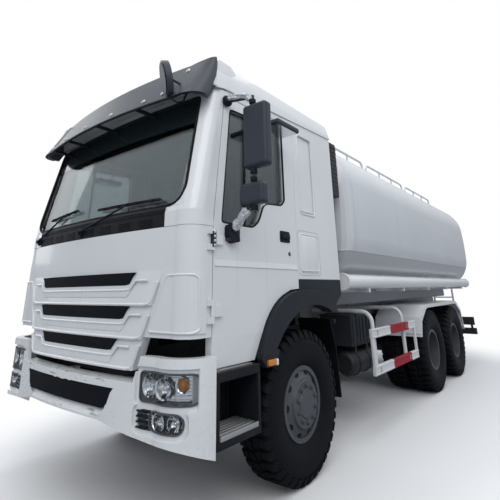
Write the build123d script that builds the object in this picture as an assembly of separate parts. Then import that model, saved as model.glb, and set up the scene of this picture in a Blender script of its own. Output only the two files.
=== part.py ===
from build123d import *
import os
from math import cos, radians, sin

os.makedirs("parts", exist_ok=True)

# Overall layout: X forward, Y left, Z up, origin on the ground under the middle
FRONT_OVERHANG = 1500
WHEELBASE = 3625
TANDEM_SPACING = 1350
REAR_OVERHANG = 2245
LENGTH = FRONT_OVERHANG + WHEELBASE + TANDEM_SPACING + REAR_OVERHANG
BODY_HALF_WIDTH = 1248
FX = LENGTH / 2 - FRONT_OVERHANG
R1X = FX - WHEELBASE
R2X = R1X - TANDEM_SPACING
SEAT_GAP = 0.3
RUN_GAP = 6

# Tyres and rims
TYRE_R = 562.5
TYRE_W = 315
TREAD_W = 240
GROOVE_W = 16
GROOVE_DEPTH = 16
RIM_SEAT_R = 257
RIM_W = 216
RIM_T = 12
FLANGE_R = 278
FLANGE_T = 10
DISC_T = 16
HAND_HOLE_R = 30
HAND_HOLES = 10
DRUM_R = 207
DRUM_T = 14

# Front axle and knuckles
FRONT_TRACK = 2022
KINGPIN_OFFSET = 151
KINGPIN_R = 22
BOSS_R = 46
BOSS_H = 110
KNUCKLE_T = 52
FRONT_HUB_R = 112
FRONT_SPINDLE_R = 40
BEAM_W = 90
BEAM_H = 110
BEAM_DROP = 170

# Rear axles
REAR_TRACK = 1829
DUAL_SPACING = 345
REAR_HUB_R = 120
REAR_SPINDLE_R = 50
AXLE_TUBE_R = 75
DIFF_R = 215
SHAFT_R = 55
SHAFT_Z = 690

# Ladder frame
FRAME_W = 850
FRAME_H = 300
FRAME_TOP = 1050
FLANGE_W = 80
FRAME_T = 10
FRAME_FRONT = 1170
FRAME_REAR = 6900
CROSS_H = 200
CROSS_W = 110

# Springs
LEAF_W = 90
LEAF_T = 18
LEAF_SPAN = 1560
LEAF_RISE = 190
REAR_LEAF_W = 80
REAR_LEAF_Y = 475

# Engine, gearbox and radiator as plain masses
ENGINE_FRONT = 850
ENGINE_REAR = 450
ENGINE_HALF_W = 320
ENGINE_LOW = 600
ENGINE_TOP = 1290
GEARBOX_REAR = 1250
RADIATOR_T = 90
RADIATOR_TOP = 1320

# Water tank
TANK_FRONT = 1060
TANK_REAR = 7000
TANK_LOW = 1450
TANK_TOP = 3250
TANK_HALF_W = 1238
TANK_BULGE = 62
TANK_CROWN = 60
TANK_LOW_R = 600
TANK_HIGH_R = 600
DOME_DEPTH = 115
SILL_Y = 800
SILL_W = 80
SILL_H = 180
SUB_FRONT = 1150
SADDLE_W = 130

# Hose tubes beside the tank
HOSE_R = 80
HOSE_Z = 1525
HOSE_FRONT = 840
HOSE_REAR = 6750

# Top walkway and manhole
WALK_HALF_W = 720
WALK_TOP = TANK_TOP + 40
WALK_T = 24
WALK_FRONT = 1100
WALK_REAR = 6720
RAIL_TOP = WALK_TOP + 155
RAIL_R = 17
MANHOLE_X = 3890
NECK_R = 270
NECK_T = 28
NECK_TOP = TANK_TOP + 80
LID_T = 24
LID_R = 292
LID_PIN_R = 9

# Side guards and what hangs on the frame
GUARD_FRONT = 1300
GUARD_REAR = 2790
GUARD_LOW = 563
GUARD_TOP = 1025
GUARD_RAIL_H = 95
GUARD_T = 34
GUARD_Y = 1236
HANGER_R = 24
HANGER_Z = 1200
BATTERY_FRONT = 1310
BATTERY_REAR = 1860
BATTERY_LOW = 830
BATTERY_TOP = 1150
BATTERY_OUT = 1010
AIR_TANK_R = 125
AIR_TANK_Z = 655
FUEL_FRONT = 1330
FUEL_REAR = 2520
FUEL_LOW = 480
FUEL_TOP = 1010
FUEL_OUT = 1150
FUEL_IN = 560

# Rear mudguards
FENDER_IN = 575
FENDER_TOP = 1210
FENDER_T = 6
FENDER_LIP = 45

# Front bumper
BUMPER_T = 60
BUMPER_LOW = 516
BUMPER_MID_LOW = 672
BUMPER_MID_TOP = 915
BUMPER_FACE = 1400
EDGE_SLOPE = 0.37
BUMPER_TOP = 1070
BUMPER_REAR = 1168
BUMPER_POD_Y = 845
POD_TAPER = 60
LAMP_LOW = 820
LAMP_TOP = 985
LAMP_IN = 840
FOG_LOW = 672
FOG_TOP = 778
FOG_IN = 830
FOG_OUT = 1170
CUT_OVER = 5
CAB_CORNER = 160
SCREEN_SET = 14
TUNNEL_T = 30
INTAKE_LOW = 745
INTAKE_TOP = 862
INTAKE_HALF_W = 540
BRACKET_LOW = 755
BRACKET_TOP = 865
BRACKET_REACH = 120
BUMPER_SAG = 80
BUMPER_CORNER = 280
LENS_INSET = 10
RECESS_DEPTH = 18
RECESS_RIM = 30
SCOOP_LOW = 686
SCOOP_DEPTH = 34
SCOOP_TAPER = 70
LAMP_ROUND = 24
FOG_ROUND = 44

# Cab
CAB_HALF_W = 1200
WALL = 60
CAB_REAR = 710
FLOOR_LOW = 1380
FLOOR_T = 60
TUNNEL_HALF_W = 400
TUNNEL_TOP = 1560
TUNNEL_FRONT = 930
SIDE_LOW = 1540
DRIP_REAR_Z = 3085
DRIP_FRONT_Z = 2997
ROOF_TOP = 3325
ROOF_T = 40
PANEL_LOW = 1175
PANEL_TOP = 1885
COWL_TOP = 1990
SCREEN_TOP = 2985
SCREEN_LEAN = 190
SCREEN_HALF_W = 1085
SCREEN_T = 10
FRONT_BOW = 1430
FRONT_SAG = 62
GRILLE_LOW = 972
GRILLE_TOP = 1597
GRILLE_TOP_HALF_W = 945
GRILLE_LOW_HALF_W = 724
GRILLE_PROUD = 18
GRILLE_CORNER = 160
LEDGE_DEPTH = 42
LEDGE_DROP = 68
LEDGE_TAPER = 45
LEDGE_ROUND = 36
SLOT_ROUND = 52
PAD_PROUD = 9
PAD_TOP = 1566
PAD_LOW = 1204
PAD_GAP = 45
PIVOT_X = 1300
PIVOT_BOSS_R = 45
FLOOR_FRONT = 1330
PIVOT_Z = 1155
PIVOT_R = 20
PIVOT_ARM_Y = 516
PIVOT_ARM_W = 60
PIVOT_PLATE = 140
PIVOT_END = 12

# Sun visor
VISOR_FRONT = 1488
VISOR_BOW = 85
VISOR_EDGE_Y = 1000
VISOR_HALF_W = 1185
VISOR_END = 1215
VISOR_T = 25
VISOR_LEAN = 205
VISOR_LOW = 2868
VISOR_TOP = 3240

# Doors
DOOR_FRONT = 1160
DOOR_REAR = 90
DOOR_LOW = 983
DOOR_TOP = 2935
DOOR_GAP = 8
HINGE_X = 1172
HINGE_OUT = 14
HINGE_R = 13
HINGE_PIN_R = 7
HINGE_LEAF = 50
GLASS_T = 8
FOLD_Z = 1165
FOLD_LEAN = 16

# Wheel arches on the cab
ARCH_TOP = 1443
ARCH_INNER_TOP = 1305

# Steps
STEP_FRONT = 1150
STEP_REAR = 712
STEP_IN = 900
STEP_TOP = 968
STEP_LOW = 545
TREAD_T = 26


def fa(x):
    """X of a place measured forward from the front axle."""
    return FX + x


def block(x0, x1, y0, y1, z0, z1):
    """Box between opposite corners."""
    return Pos((x0 + x1) / 2, (y0 + y1) / 2, (z0 + z1) / 2) * Box(abs(x1 - x0), abs(y1 - y0), abs(z1 - z0))


def rod(p, q, r):
    """Round bar from one point to another."""
    line = Vector(*q) - Vector(*p)
    return extrude(Plane(origin=p, z_dir=line) * Circle(r), line.length)


def face_of(points):
    """Closed face; a point marked with a third entry is the middle of an arc."""
    edges = []
    count = len(points)
    at = 0
    while at < count:
        here = points[at][:2]
        nxt = points[(at + 1) % count]
        if len(nxt) == 3:
            end = points[(at + 2) % count][:2]
            edges.append(ThreePointArc(here, nxt[:2], end))
            at += 2
        else:
            edges.append(Line(here, nxt[:2]))
            at += 1
    return make_face(edges)


def slab_xz(points, y0, y1):
    """Outline in X and Z pulled along Y."""
    return extrude(Plane(origin=(0, y1, 0), x_dir=(1, 0, 0), z_dir=(0, -1, 0)) * face_of(points), y1 - y0)


def slab_yz(points, x0, x1):
    """Outline in Y and Z pulled along X."""
    return extrude(Plane(origin=(x0, 0, 0), x_dir=(0, 1, 0), z_dir=(1, 0, 0)) * face_of(points), x1 - x0)


def slab_xy(face, z0, z1):
    """Plan outline pulled up."""
    return extrude(Pos(0, 0, z0) * face, z1 - z0)


def shell_xy(outer, inner, z0, z1):
    """Wall between two plan outlines, pulled up."""
    return slab_xy(face_of(outer), z0, z1) - slab_xy(face_of(inner), z0 - CUT_OVER, z1 + CUT_OVER)


def turned(points, x, y, z, side):
    """Profile of radius and outward distance, turned about a wheel's axis."""
    body = revolve(face_of(points), Axis.Y)
    if side < 0:
        body = mirror(body, about=Plane.XZ)
    return Pos(x, y * side, z) * body


def both(solid):
    """A piece with its mirror image on the other side."""
    return [solid, mirror(solid, about=Plane.XZ)]


def save(name, *solids):
    """Write one node."""
    flat = []
    for item in solids:
        flat.extend(item if isinstance(item, (list, tuple)) else [item])
    single = []
    for item in flat:
        single.extend(item.solids())
    export_step(Compound(children=single) if len(single) > 1 else single[0], f"parts/{name}.step")


# Tyres
half_tyre = TYRE_W / 2
half_rim = RIM_W / 2
half_tread = TREAD_W / 2
bead_top = FLANGE_R + 5
tyre_points = [
    (RIM_SEAT_R, -half_rim),
    (bead_top, -half_rim),
    ((bead_top + TYRE_R) / 2, -half_tyre, "via"),
    (TYRE_R - 30, -half_tread - 16),
    (TYRE_R, -half_tread),
    (TYRE_R, half_tread),
    (TYRE_R - 30, half_tread + 16),
    ((bead_top + TYRE_R) / 2, half_tyre, "via"),
    (bead_top, half_rim),
    (RIM_SEAT_R, half_rim),
]
groove_points = [
    (TYRE_R - GROOVE_DEPTH, -GROOVE_W / 2),
    (TYRE_R + 5, -GROOVE_W / 2),
    (TYRE_R + 5, GROOVE_W / 2),
    (TYRE_R - GROOVE_DEPTH, GROOVE_W / 2),
]
GROOVE_AT = (-TREAD_W / 4, TREAD_W / 4)


def tyre(x, y, side):
    """One tyre with its grooves."""
    body = turned(tyre_points, x, y, TYRE_R, side)
    for shift in GROOVE_AT:
        body -= turned(groove_points, x, y + shift, TYRE_R, side)
    return body


rim_in = RIM_SEAT_R - RIM_T
rim_out = half_rim + FLANGE_T


def rim_points(shift):
    """Rim barrel with its two flanges."""
    return [
        (rim_in, shift - rim_out),
        (FLANGE_R, shift - rim_out),
        (FLANGE_R, shift - half_rim),
        (RIM_SEAT_R, shift - half_rim),
        (RIM_SEAT_R, shift + half_rim),
        (FLANGE_R, shift + half_rim),
        (FLANGE_R, shift + rim_out),
        (rim_in, shift + rim_out),
    ]


def holes_round(x, y, side, radius, hole_r, count, depth):
    """Ring of holes along a wheel's axis."""
    cuts = []
    for i in range(count):
        a = radians(360 / count * (i + 0.5))
        px = x + radius * sin(a)
        pz = TYRE_R + radius * cos(a)
        cuts.append(rod((px, (y - depth) * side, pz), (px, (y + depth) * side, pz), hole_r))
    return cuts


hub_face = half_rim + 2
front_bore = FRONT_SPINDLE_R + SEAT_GAP
FRONT_HUB_IN = 70
FRONT_CAP_R = 84
FRONT_CAP_OUT = 160
front_disc = [
    (rim_in + 4, 20),
    (rim_in + 4, 20 + DISC_T),
    (rim_in - 42, hub_face - 8),
    (rim_in - 85, hub_face),
    (FRONT_HUB_R - 2, hub_face),
    (FRONT_HUB_R - 2, hub_face - DISC_T),
    (rim_in - 88, hub_face - DISC_T),
    (rim_in - 52, hub_face - 8 - DISC_T),
]
front_hub = [
    (front_bore, -FRONT_HUB_IN),
    (FRONT_HUB_R, -FRONT_HUB_IN),
    (FRONT_HUB_R, hub_face),
    (FRONT_CAP_R, hub_face),
    (FRONT_CAP_R, FRONT_CAP_OUT - 14),
    (FRONT_CAP_R - 14, FRONT_CAP_OUT),
    (0, FRONT_CAP_OUT),
    (0, hub_face - 20),
    (front_bore, hub_face - 20),
]
front_drum = [
    (FRONT_HUB_R - 2, -40),
    (DRUM_R - DRUM_T, -40),
    (DRUM_R - DRUM_T, -160),
    (DRUM_R, -160),
    (DRUM_R, -28),
    (FRONT_HUB_R - 2, -28),
]
rear_bore = REAR_SPINDLE_R + SEAT_GAP
half_dual = DUAL_SPACING / 2
REAR_HUB_IN = 130
REAR_HUB_OUT = 150
REAR_CAP_R = 96
rear_disc = [
    (rim_in + 4, half_dual - 110),
    (rim_in + 4, half_dual - 110 + DISC_T),
    (rim_in - 42, DISC_T),
    (REAR_HUB_R - 2, DISC_T),
    (REAR_HUB_R - 2, 0),
    (rim_in - 48, 0),
]
rear_disc_in = [(r, -y) for r, y in rear_disc]
rear_hub = [
    (rear_bore, -REAR_HUB_IN),
    (REAR_HUB_R, -REAR_HUB_IN),
    (REAR_HUB_R, REAR_HUB_OUT),
    (REAR_CAP_R, REAR_HUB_OUT),
    (REAR_CAP_R, REAR_HUB_OUT + 36),
    (0, REAR_HUB_OUT + 36),
    (0, REAR_HUB_OUT - 12),
    (rear_bore, REAR_HUB_OUT - 12),
]
rear_drum = [
    (REAR_HUB_R - 2, -REAR_HUB_IN),
    (DRUM_R - DRUM_T, -REAR_HUB_IN),
    (DRUM_R - DRUM_T, -310),
    (DRUM_R, -310),
    (DRUM_R, -REAR_HUB_IN + 12),
    (REAR_HUB_R - 2, -REAR_HUB_IN + 12),
]


def wheel(x, y, side, profiles, hole_y):
    """Rims, discs, hub and drum fused into one wheel."""
    body = turned(profiles[0], x, y, TYRE_R, side)
    for points in profiles[1:]:
        body += turned(points, x, y, TYRE_R, side)
    for cut in holes_round(x, y + hole_y, side, rim_in - 46, HAND_HOLE_R, HAND_HOLES, 60):
        body -= cut
    return body


SIDES = (("left", 1), ("right", -1))
half_front_track = FRONT_TRACK / 2
half_rear_track = REAR_TRACK / 2
REAR_AXLES = (("mid", R1X), ("rear", R2X))
for side_name, side in SIDES:
    save(f"front_tyre_{side_name}", tyre(FX, half_front_track, side))
    front_set = [rim_points(0), front_disc, front_hub, front_drum]
    save(f"front_wheel_{side_name}", wheel(FX, half_front_track, side, front_set, hub_face - 20))
    for axle_name, axle_x in REAR_AXLES:
        pair = [tyre(axle_x, half_rear_track + s * half_dual, side) for s in (-1, 1)]
        save(f"{axle_name}_tyres_{side_name}", pair)
        rims = [rim_points(half_dual), rim_points(-half_dual)]
        rear_set = [rear_hub, *rims, rear_disc, rear_disc_in, rear_drum]
        save(f"{axle_name}_wheels_{side_name}", wheel(axle_x, half_rear_track, side, rear_set, 20))

# Steering knuckles
kingpin_y = half_front_track - KINGPIN_OFFSET
half_boss = BOSS_H / 2
web_in = kingpin_y + BOSS_R + RUN_GAP
web_out = web_in + 18
lug_top = half_boss + RUN_GAP + KNUCKLE_T
knuckle = block(FX - 60, FX + 60, web_in, web_out, TYRE_R - lug_top, TYRE_R + lug_top)
for low, high in ((half_boss + RUN_GAP, lug_top), (-lug_top, -half_boss - RUN_GAP)):
    knuckle += rod((FX, kingpin_y, TYRE_R + low), (FX, kingpin_y, TYRE_R + high), BOSS_R)
    knuckle += block(FX - BOSS_R, FX + BOSS_R, kingpin_y, web_in + 4, TYRE_R + low, TYRE_R + high)
knuckle += rod((FX, kingpin_y, TYRE_R - lug_top), (FX, kingpin_y, TYRE_R + lug_top), KINGPIN_R)
spindle_tip = half_front_track + hub_face - 20 - RUN_GAP
knuckle += rod((FX, web_out - 5, TYRE_R), (FX, spindle_tip, TYRE_R), FRONT_SPINDLE_R)
save("knuckle_left", knuckle)
save("knuckle_right", mirror(knuckle, about=Plane.XZ))

# Dropped front axle beam
beam_low = TYRE_R - BEAM_DROP - BEAM_H / 2
beam_high = beam_low + BEAM_H
beam_end = kingpin_y - BOSS_R + 12
beam_points = [
    (-beam_end, TYRE_R - half_boss),
    (-beam_end + 60, TYRE_R - half_boss),
    (-beam_end + 190, beam_low),
    (beam_end - 190, beam_low),
    (beam_end - 60, TYRE_R - half_boss),
    (beam_end, TYRE_R - half_boss),
    (beam_end, TYRE_R + half_boss),
    (beam_end - 80, TYRE_R + half_boss),
    (beam_end - 220, beam_high),
    (-beam_end + 220, beam_high),
    (-beam_end + 80, TYRE_R + half_boss),
    (-beam_end, TYRE_R + half_boss),
]
axle_beam = slab_yz(beam_points, FX - BEAM_W / 2, FX + BEAM_W / 2)
for s in (-1, 1):
    boss_low = (FX, s * kingpin_y, TYRE_R - half_boss)
    boss_high = (FX, s * kingpin_y, TYRE_R + half_boss)
    axle_beam += rod(boss_low, boss_high, BOSS_R)
    axle_beam -= rod(boss_low, boss_high, KINGPIN_R + SEAT_GAP)
save("front_axle_beam", axle_beam)

# Ladder frame
frame_low = FRAME_TOP - FRAME_H
half_frame = FRAME_W / 2
rail_in = half_frame - FLANGE_W
rail = block(fa(-FRAME_REAR), fa(FRAME_FRONT), rail_in, half_frame, frame_low, FRAME_TOP)
rail -= block(
    fa(-FRAME_REAR) - 5, fa(FRAME_FRONT) + 5, rail_in - 5, half_frame - FRAME_T,
    frame_low + FRAME_T, FRAME_TOP - FRAME_T,
)
frame = rail + mirror(rail, about=Plane.XZ)
CROSS_AT = (FRAME_FRONT - CROSS_W / 2, -1500, -2500, -3000, -4300, -5700, -FRAME_REAR + 60)
cross_mid = FRAME_TOP - FRAME_H / 2
for x in CROSS_AT:
    frame += block(
        fa(x) - CROSS_W / 2, fa(x) + CROSS_W / 2, -half_frame + FRAME_T, half_frame - FRAME_T,
        cross_mid - CROSS_H / 2 + 60, cross_mid + CROSS_H / 2,
    )
bracket_in = half_frame - FRAME_T
bracket_out = PIVOT_ARM_Y - RUN_GAP
for s in (-1, 1):
    plate_x = (fa(FRAME_FRONT - PIVOT_PLATE), fa(FRAME_FRONT))
    plate_z = (cross_mid, PIVOT_Z + PIVOT_BOSS_R)
    frame += block(*plate_x, s * bracket_in, s * bracket_out, *plate_z)
    frame += block(
        plate_x[0], fa(PIVOT_X), s * bracket_in, s * bracket_out,
        PIVOT_Z - PIVOT_BOSS_R, PIVOT_Z + PIVOT_BOSS_R,
    )
    pivot_in = (fa(PIVOT_X), s * bracket_in, PIVOT_Z)
    frame += rod(pivot_in, (fa(PIVOT_X), s * bracket_out, PIVOT_Z), PIVOT_BOSS_R)
    frame += rod(pivot_in, (fa(PIVOT_X), s * (PIVOT_ARM_Y + PIVOT_ARM_W + PIVOT_END), PIVOT_Z), PIVOT_R)
save("ladder_frame", frame)

# Leaf springs
LEAVES = (1.0, 0.86, 0.68, 0.5)
leaf_radius = LEAF_SPAN ** 2 / (8 * LEAF_RISE) + LEAF_RISE / 2
pad_z = beam_high
spring_mid = half_frame - LEAF_W / 2


def leaf(radius_out, share, top_z):
    """One bowed leaf, low in its middle."""
    half = LEAF_SPAN * share / 2
    inner = radius_out - LEAF_T
    drop_out = radius_out - (radius_out ** 2 - half ** 2) ** 0.5
    drop_in = inner - (inner ** 2 - half ** 2) ** 0.5
    return [
        (FX - half, top_z - LEAF_T + drop_out),
        (FX, top_z - LEAF_T, "via"),
        (FX + half, top_z - LEAF_T + drop_out),
        (FX + half, top_z + drop_in),
        (FX, top_z, "via"),
        (FX - half, top_z + drop_in),
    ]


spring_y = (spring_mid - LEAF_W / 2, spring_mid + LEAF_W / 2)
pack_top = pad_z + 30 + LEAF_T * len(LEAVES)
spring = block(FX - 80, FX + 80, *spring_y, pad_z, pad_z + 40)
for i, share in enumerate(LEAVES):
    spring += slab_xz(leaf(leaf_radius + LEAF_T * i, share, pack_top - LEAF_T * i), *spring_y)
eye_z = pack_top + LEAF_RISE - LEAF_T
for end in (-1, 1):
    eye_x = FX + end * (LEAF_SPAN / 2 - 20)
    spring += block(eye_x - 40, eye_x + 40, *spring_y, eye_z - 25, frame_low)
tandem_x = (R1X + R2X) / 2
seat_z = TYRE_R + AXLE_TUBE_R + 30
rear_y = (REAR_LEAF_Y, REAR_LEAF_Y + REAR_LEAF_W)
rear_spring = block(tandem_x - 120, tandem_x + 120, *rear_y, TYRE_R - 60, seat_z)
half_span = TANDEM_SPACING / 2 + 60
for i in range(5):
    share = 1 - 0.15 * i
    z = seat_z + LEAF_T * i
    rear_spring += block(tandem_x - half_span * share, tandem_x + half_span * share, *rear_y, z, z + LEAF_T)
rear_spring += block(tandem_x - 110, tandem_x + 110, half_frame, REAR_LEAF_Y, TYRE_R - 40, FRAME_TOP - 60)
trunnion = rod((tandem_x, -REAR_LEAF_Y, TYRE_R), (tandem_x, REAR_LEAF_Y, TYRE_R), 45)
rear_suspension = rear_spring + mirror(rear_spring, about=Plane.XZ) + trunnion
save("leaf_springs", both(spring), rear_suspension)

# Rear axle housings
housings = []
for name, axle_x in REAR_AXLES:
    tube_end = half_rear_track - REAR_HUB_IN - RUN_GAP - 8
    tip = half_rear_track + REAR_HUB_OUT - 12 - RUN_GAP
    housing = rod((axle_x, -tube_end, TYRE_R), (axle_x, tube_end, TYRE_R), AXLE_TUBE_R)
    housing += rod((axle_x, -tip, TYRE_R), (axle_x, tip, TYRE_R), REAR_SPINDLE_R)
    housing += rod((axle_x - 95, 0, TYRE_R), (axle_x + 95, 0, TYRE_R), DIFF_R)
    nose_rear = axle_x - 230 if name == "mid" else axle_x
    housing += rod((nose_rear, 0, SHAFT_Z), (axle_x + 290, 0, SHAFT_Z), SHAFT_R + 20)
    for s in (-1, 1):
        pad = block(axle_x - 60, axle_x + 60, s * rear_y[0], s * rear_y[1], TYRE_R, seat_z)
        housing += pad
    housings.append(housing)
save("rear_axles", housings)

# Engine, gearbox, radiator and propeller shafts
driveline = block(
    fa(-ENGINE_REAR), fa(ENGINE_FRONT), -ENGINE_HALF_W, ENGINE_HALF_W, ENGINE_LOW, ENGINE_TOP,
)
gear_low = SHAFT_Z - 140
driveline += block(fa(-GEARBOX_REAR), fa(-ENGINE_REAR) + 5, -230, 230, gear_low, FRAME_TOP - 80)
driveline += block(fa(ENGINE_FRONT) - 5, fa(ENGINE_FRONT + 120), -280, 280, 760, RADIATOR_TOP - 60)
radiator_x = ENGINE_FRONT + 110
driveline += block(
    fa(radiator_x), fa(radiator_x + RADIATOR_T), -ENGINE_HALF_W, ENGINE_HALF_W, 660, RADIATOR_TOP,
)
for x in (ENGINE_FRONT - 150, -ENGINE_REAR + 150):
    for s in (-1, 1):
        driveline += block(fa(x) - 60, fa(x) + 60, s * 300, s * (half_frame - 15), FRAME_TOP, FRAME_TOP + 40)
driveline += rod((fa(-GEARBOX_REAR) + 5, 0, SHAFT_Z), (R1X + 290, 0, SHAFT_Z), SHAFT_R)
tandem_shaft = rod((R1X - 230, 0, SHAFT_Z), (R2X + 290, 0, SHAFT_Z), SHAFT_R)
save("driveline", driveline, tandem_shaft)

# Tank
tank_x = (fa(-TANK_REAR), fa(-TANK_FRONT))


def tank_section(inset):
    """Squared oval with a flat bottom, shrunk evenly by inset."""
    half = TANK_HALF_W - inset
    low = TANK_LOW + inset
    top = TANK_TOP - inset
    corner = half - TANK_BULGE
    crown = top - TANK_CROWN
    mid = (low + top) / 2
    face = face_of([
        (-corner, low),
        (corner, low),
        (half, mid, "via"),
        (corner, crown),
        (0, top, "via"),
        (-corner, crown),
        (-half, mid, "via"),
    ])
    lower = [v for v in face.vertices() if v.Y < mid]
    face = fillet(lower, TANK_LOW_R - inset)
    upper = [v for v in face.vertices() if v.Y > top - TANK_CROWN - 1 and abs(v.X) > corner - 1]
    return fillet(upper, TANK_HIGH_R - inset)


def tank_ring(x, inset):
    """Tank section standing at a station along X."""
    return Plane(origin=(x, 0, 0), x_dir=(0, 1, 0), z_dir=(1, 0, 0)) * tank_section(inset)


DOME_RINGS = ((0.0, 0), (0.3, 14), (0.56, 45), (0.78, 92), (0.92, 150), (1.0, 250))
tank = extrude(tank_ring(tank_x[0], 0), tank_x[1] - tank_x[0])
for end, sign in ((tank_x[0], -1), (tank_x[1], 1)):
    for (share_a, inset_a), (share_b, inset_b) in zip(DOME_RINGS, DOME_RINGS[1:]):
        ring_a = tank_ring(end + sign * DOME_DEPTH * share_a, inset_a)
        ring_b = tank_ring(end + sign * DOME_DEPTH * share_b, inset_b)
        tank += loft([ring_a, ring_b], ruled=True)
save("tank_shell", tank)

# Subframe between the frame and the tank
sub = None
SADDLE_AT = (-1450, -2650, -3850, -5050, -6250)
saddle_low = TANK_LOW - SILL_H
for s in (-1, 1):
    beam = block(fa(-FRAME_REAR), fa(-SUB_FRONT), s * rail_in, s * half_frame, FRAME_TOP, saddle_low)
    sub = beam if sub is None else sub + beam
for x in SADDLE_AT:
    sub += block(
        fa(x) - SADDLE_W / 2, fa(x) + SADDLE_W / 2, -SILL_Y, SILL_Y, saddle_low, TANK_LOW,
    )
for s in (-1, 1):
    sub += block(
        fa(SADDLE_AT[-1]) - SADDLE_W, fa(SADDLE_AT[0]) + SADDLE_W, s * (SILL_Y - SILL_W), s * SILL_Y,
        saddle_low, TANK_LOW,
    )
save("tank_subframe", sub)

# Hose tubes
HOSE_CAP = 8
hose_y = BODY_HALF_WIDTH - HOSE_R - HOSE_CAP
hose = rod((fa(-HOSE_REAR), hose_y, HOSE_Z), (fa(-HOSE_FRONT), hose_y, HOSE_Z), HOSE_R)
for x in (-HOSE_FRONT - 14, -HOSE_REAR):
    hose += rod((fa(x), hose_y, HOSE_Z), (fa(x + 14), hose_y, HOSE_Z), HOSE_R + HOSE_CAP)
hose_low = HOSE_Z - HOSE_R
for x in SADDLE_AT:
    hose += block(fa(x) - 20, fa(x) + 20, SILL_Y, hose_y + 40, TANK_LOW - 40, TANK_LOW - 4)
    hose += block(fa(x) - 20, fa(x) + 20, hose_y - 40, hose_y + 40, TANK_LOW - 10, hose_low + 30)
save("hose_tubes", both(hose))

# Walkway with its rails
walk_hole = NECK_R + 95
walk_low = WALK_TOP - WALK_T
walk = block(fa(-WALK_REAR), fa(-WALK_FRONT), -WALK_HALF_W, WALK_HALF_W, walk_low, WALK_TOP)
for s in (-1, 1):
    bearer = block(
        fa(-WALK_REAR), fa(-WALK_FRONT), s * (WALK_HALF_W - 40), s * WALK_HALF_W, TANK_TOP - 90, walk_low + 1,
    )
    walk += bearer - tank
walk -= rod((fa(-MANHOLE_X), 0, TANK_TOP), (fa(-MANHOLE_X), 0, WALK_TOP + 5), walk_hole)
RAILS = ((1150, 2850), (3000, 4790), (4970, 6690))
rail_y = WALK_HALF_W - RAIL_R - 3
for near, tail in RAILS:
    for s in (-1, 1):
        top = RAIL_TOP - RAIL_R
        bend = 90
        path = Wire([
            Edge.make_line((fa(-near), s * rail_y, WALK_TOP - 10), (fa(-near), s * rail_y, top - bend)),
            Edge.make_three_point_arc(
                (fa(-near), s * rail_y, top - bend),
                (fa(-near) - bend * (1 - 0.5 ** 0.5), s * rail_y, top - bend * (1 - 0.5 ** 0.5)),
                (fa(-near) - bend, s * rail_y, top),
            ),
            Edge.make_line((fa(-near) - bend, s * rail_y, top), (fa(-tail) + bend, s * rail_y, top)),
            Edge.make_three_point_arc(
                (fa(-tail) + bend, s * rail_y, top),
                (fa(-tail) + bend * (1 - 0.5 ** 0.5), s * rail_y, top - bend * (1 - 0.5 ** 0.5)),
                (fa(-tail), s * rail_y, top - bend),
            ),
            Edge.make_line((fa(-tail), s * rail_y, top - bend), (fa(-tail), s * rail_y, WALK_TOP - 10)),
        ])
        start = Plane(origin=(fa(-near), s * rail_y, WALK_TOP - 10), z_dir=(0, 0, 1))
        walk += sweep(start * Circle(RAIL_R), path=path)
        for share in (0.33, 0.67):
            x = fa(-near - (tail - near) * share)
            walk += rod((x, s * rail_y, WALK_TOP - 10), (x, s * rail_y, top), RAIL_R - 3)
save("walkway", walk)

# Manhole neck and lid
hole_x = fa(-MANHOLE_X)
neck = rod((hole_x, 0, TANK_TOP - 60), (hole_x, 0, NECK_TOP), NECK_R)
neck += rod((hole_x, 0, NECK_TOP - 16), (hole_x, 0, NECK_TOP), LID_R)
neck -= rod((hole_x, 0, TANK_TOP - 70), (hole_x, 0, NECK_TOP + 5), NECK_R - NECK_T)
neck -= tank
lid_low = NECK_TOP + SEAT_GAP
pin_x = hole_x - LID_R - 24
pin_z = lid_low + LID_T / 2 + 4
LUG_W = 50
lug_r = LID_PIN_R + 11
neck += block(pin_x - lug_r, hole_x - LID_R + 20, -LUG_W / 2, LUG_W / 2, NECK_TOP - 16, NECK_TOP - 2)
lug = block(pin_x - lug_r, pin_x + 12, -LUG_W / 2, LUG_W / 2, NECK_TOP - 16, pin_z)
lug += rod((pin_x, -LUG_W / 2, pin_z), (pin_x, LUG_W / 2, pin_z), lug_r)
neck += lug
neck -= rod((pin_x, -LUG_W, pin_z), (pin_x, LUG_W, pin_z), LID_PIN_R + SEAT_GAP)
save("manhole_neck", neck)
lid = revolve(
    Plane.XZ * face_of([
        (0, lid_low), (LID_R, lid_low), (LID_R, lid_low + LID_T - 6), (LID_R - 60, lid_low + LID_T),
        (0, lid_low + LID_T + 12),
    ]),
    Axis.Z,
)
lid = Pos(hole_x, 0, 0) * lid
lug_room = LUG_W / 2 + RUN_GAP
lid -= block(pin_x - 60, hole_x - LID_R + 18, -lug_room, lug_room, lid_low - 5, lid_low + 60)
for s in (-1, 1):
    inner = s * (LUG_W / 2 + RUN_GAP)
    outer = s * (LUG_W / 2 + RUN_GAP + 30)
    lid += block(pin_x, hole_x - LID_R + 80, inner, outer, lid_low, lid_low + LID_T - 6)
    lid += rod((pin_x, inner, pin_z), (pin_x, outer, pin_z), lug_r - 4)
lid += rod((pin_x, -LUG_W / 2 - RUN_GAP - 30, pin_z), (pin_x, LUG_W / 2 + RUN_GAP + 30, pin_z), LID_PIN_R)
save("manhole_lid", lid)

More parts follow.
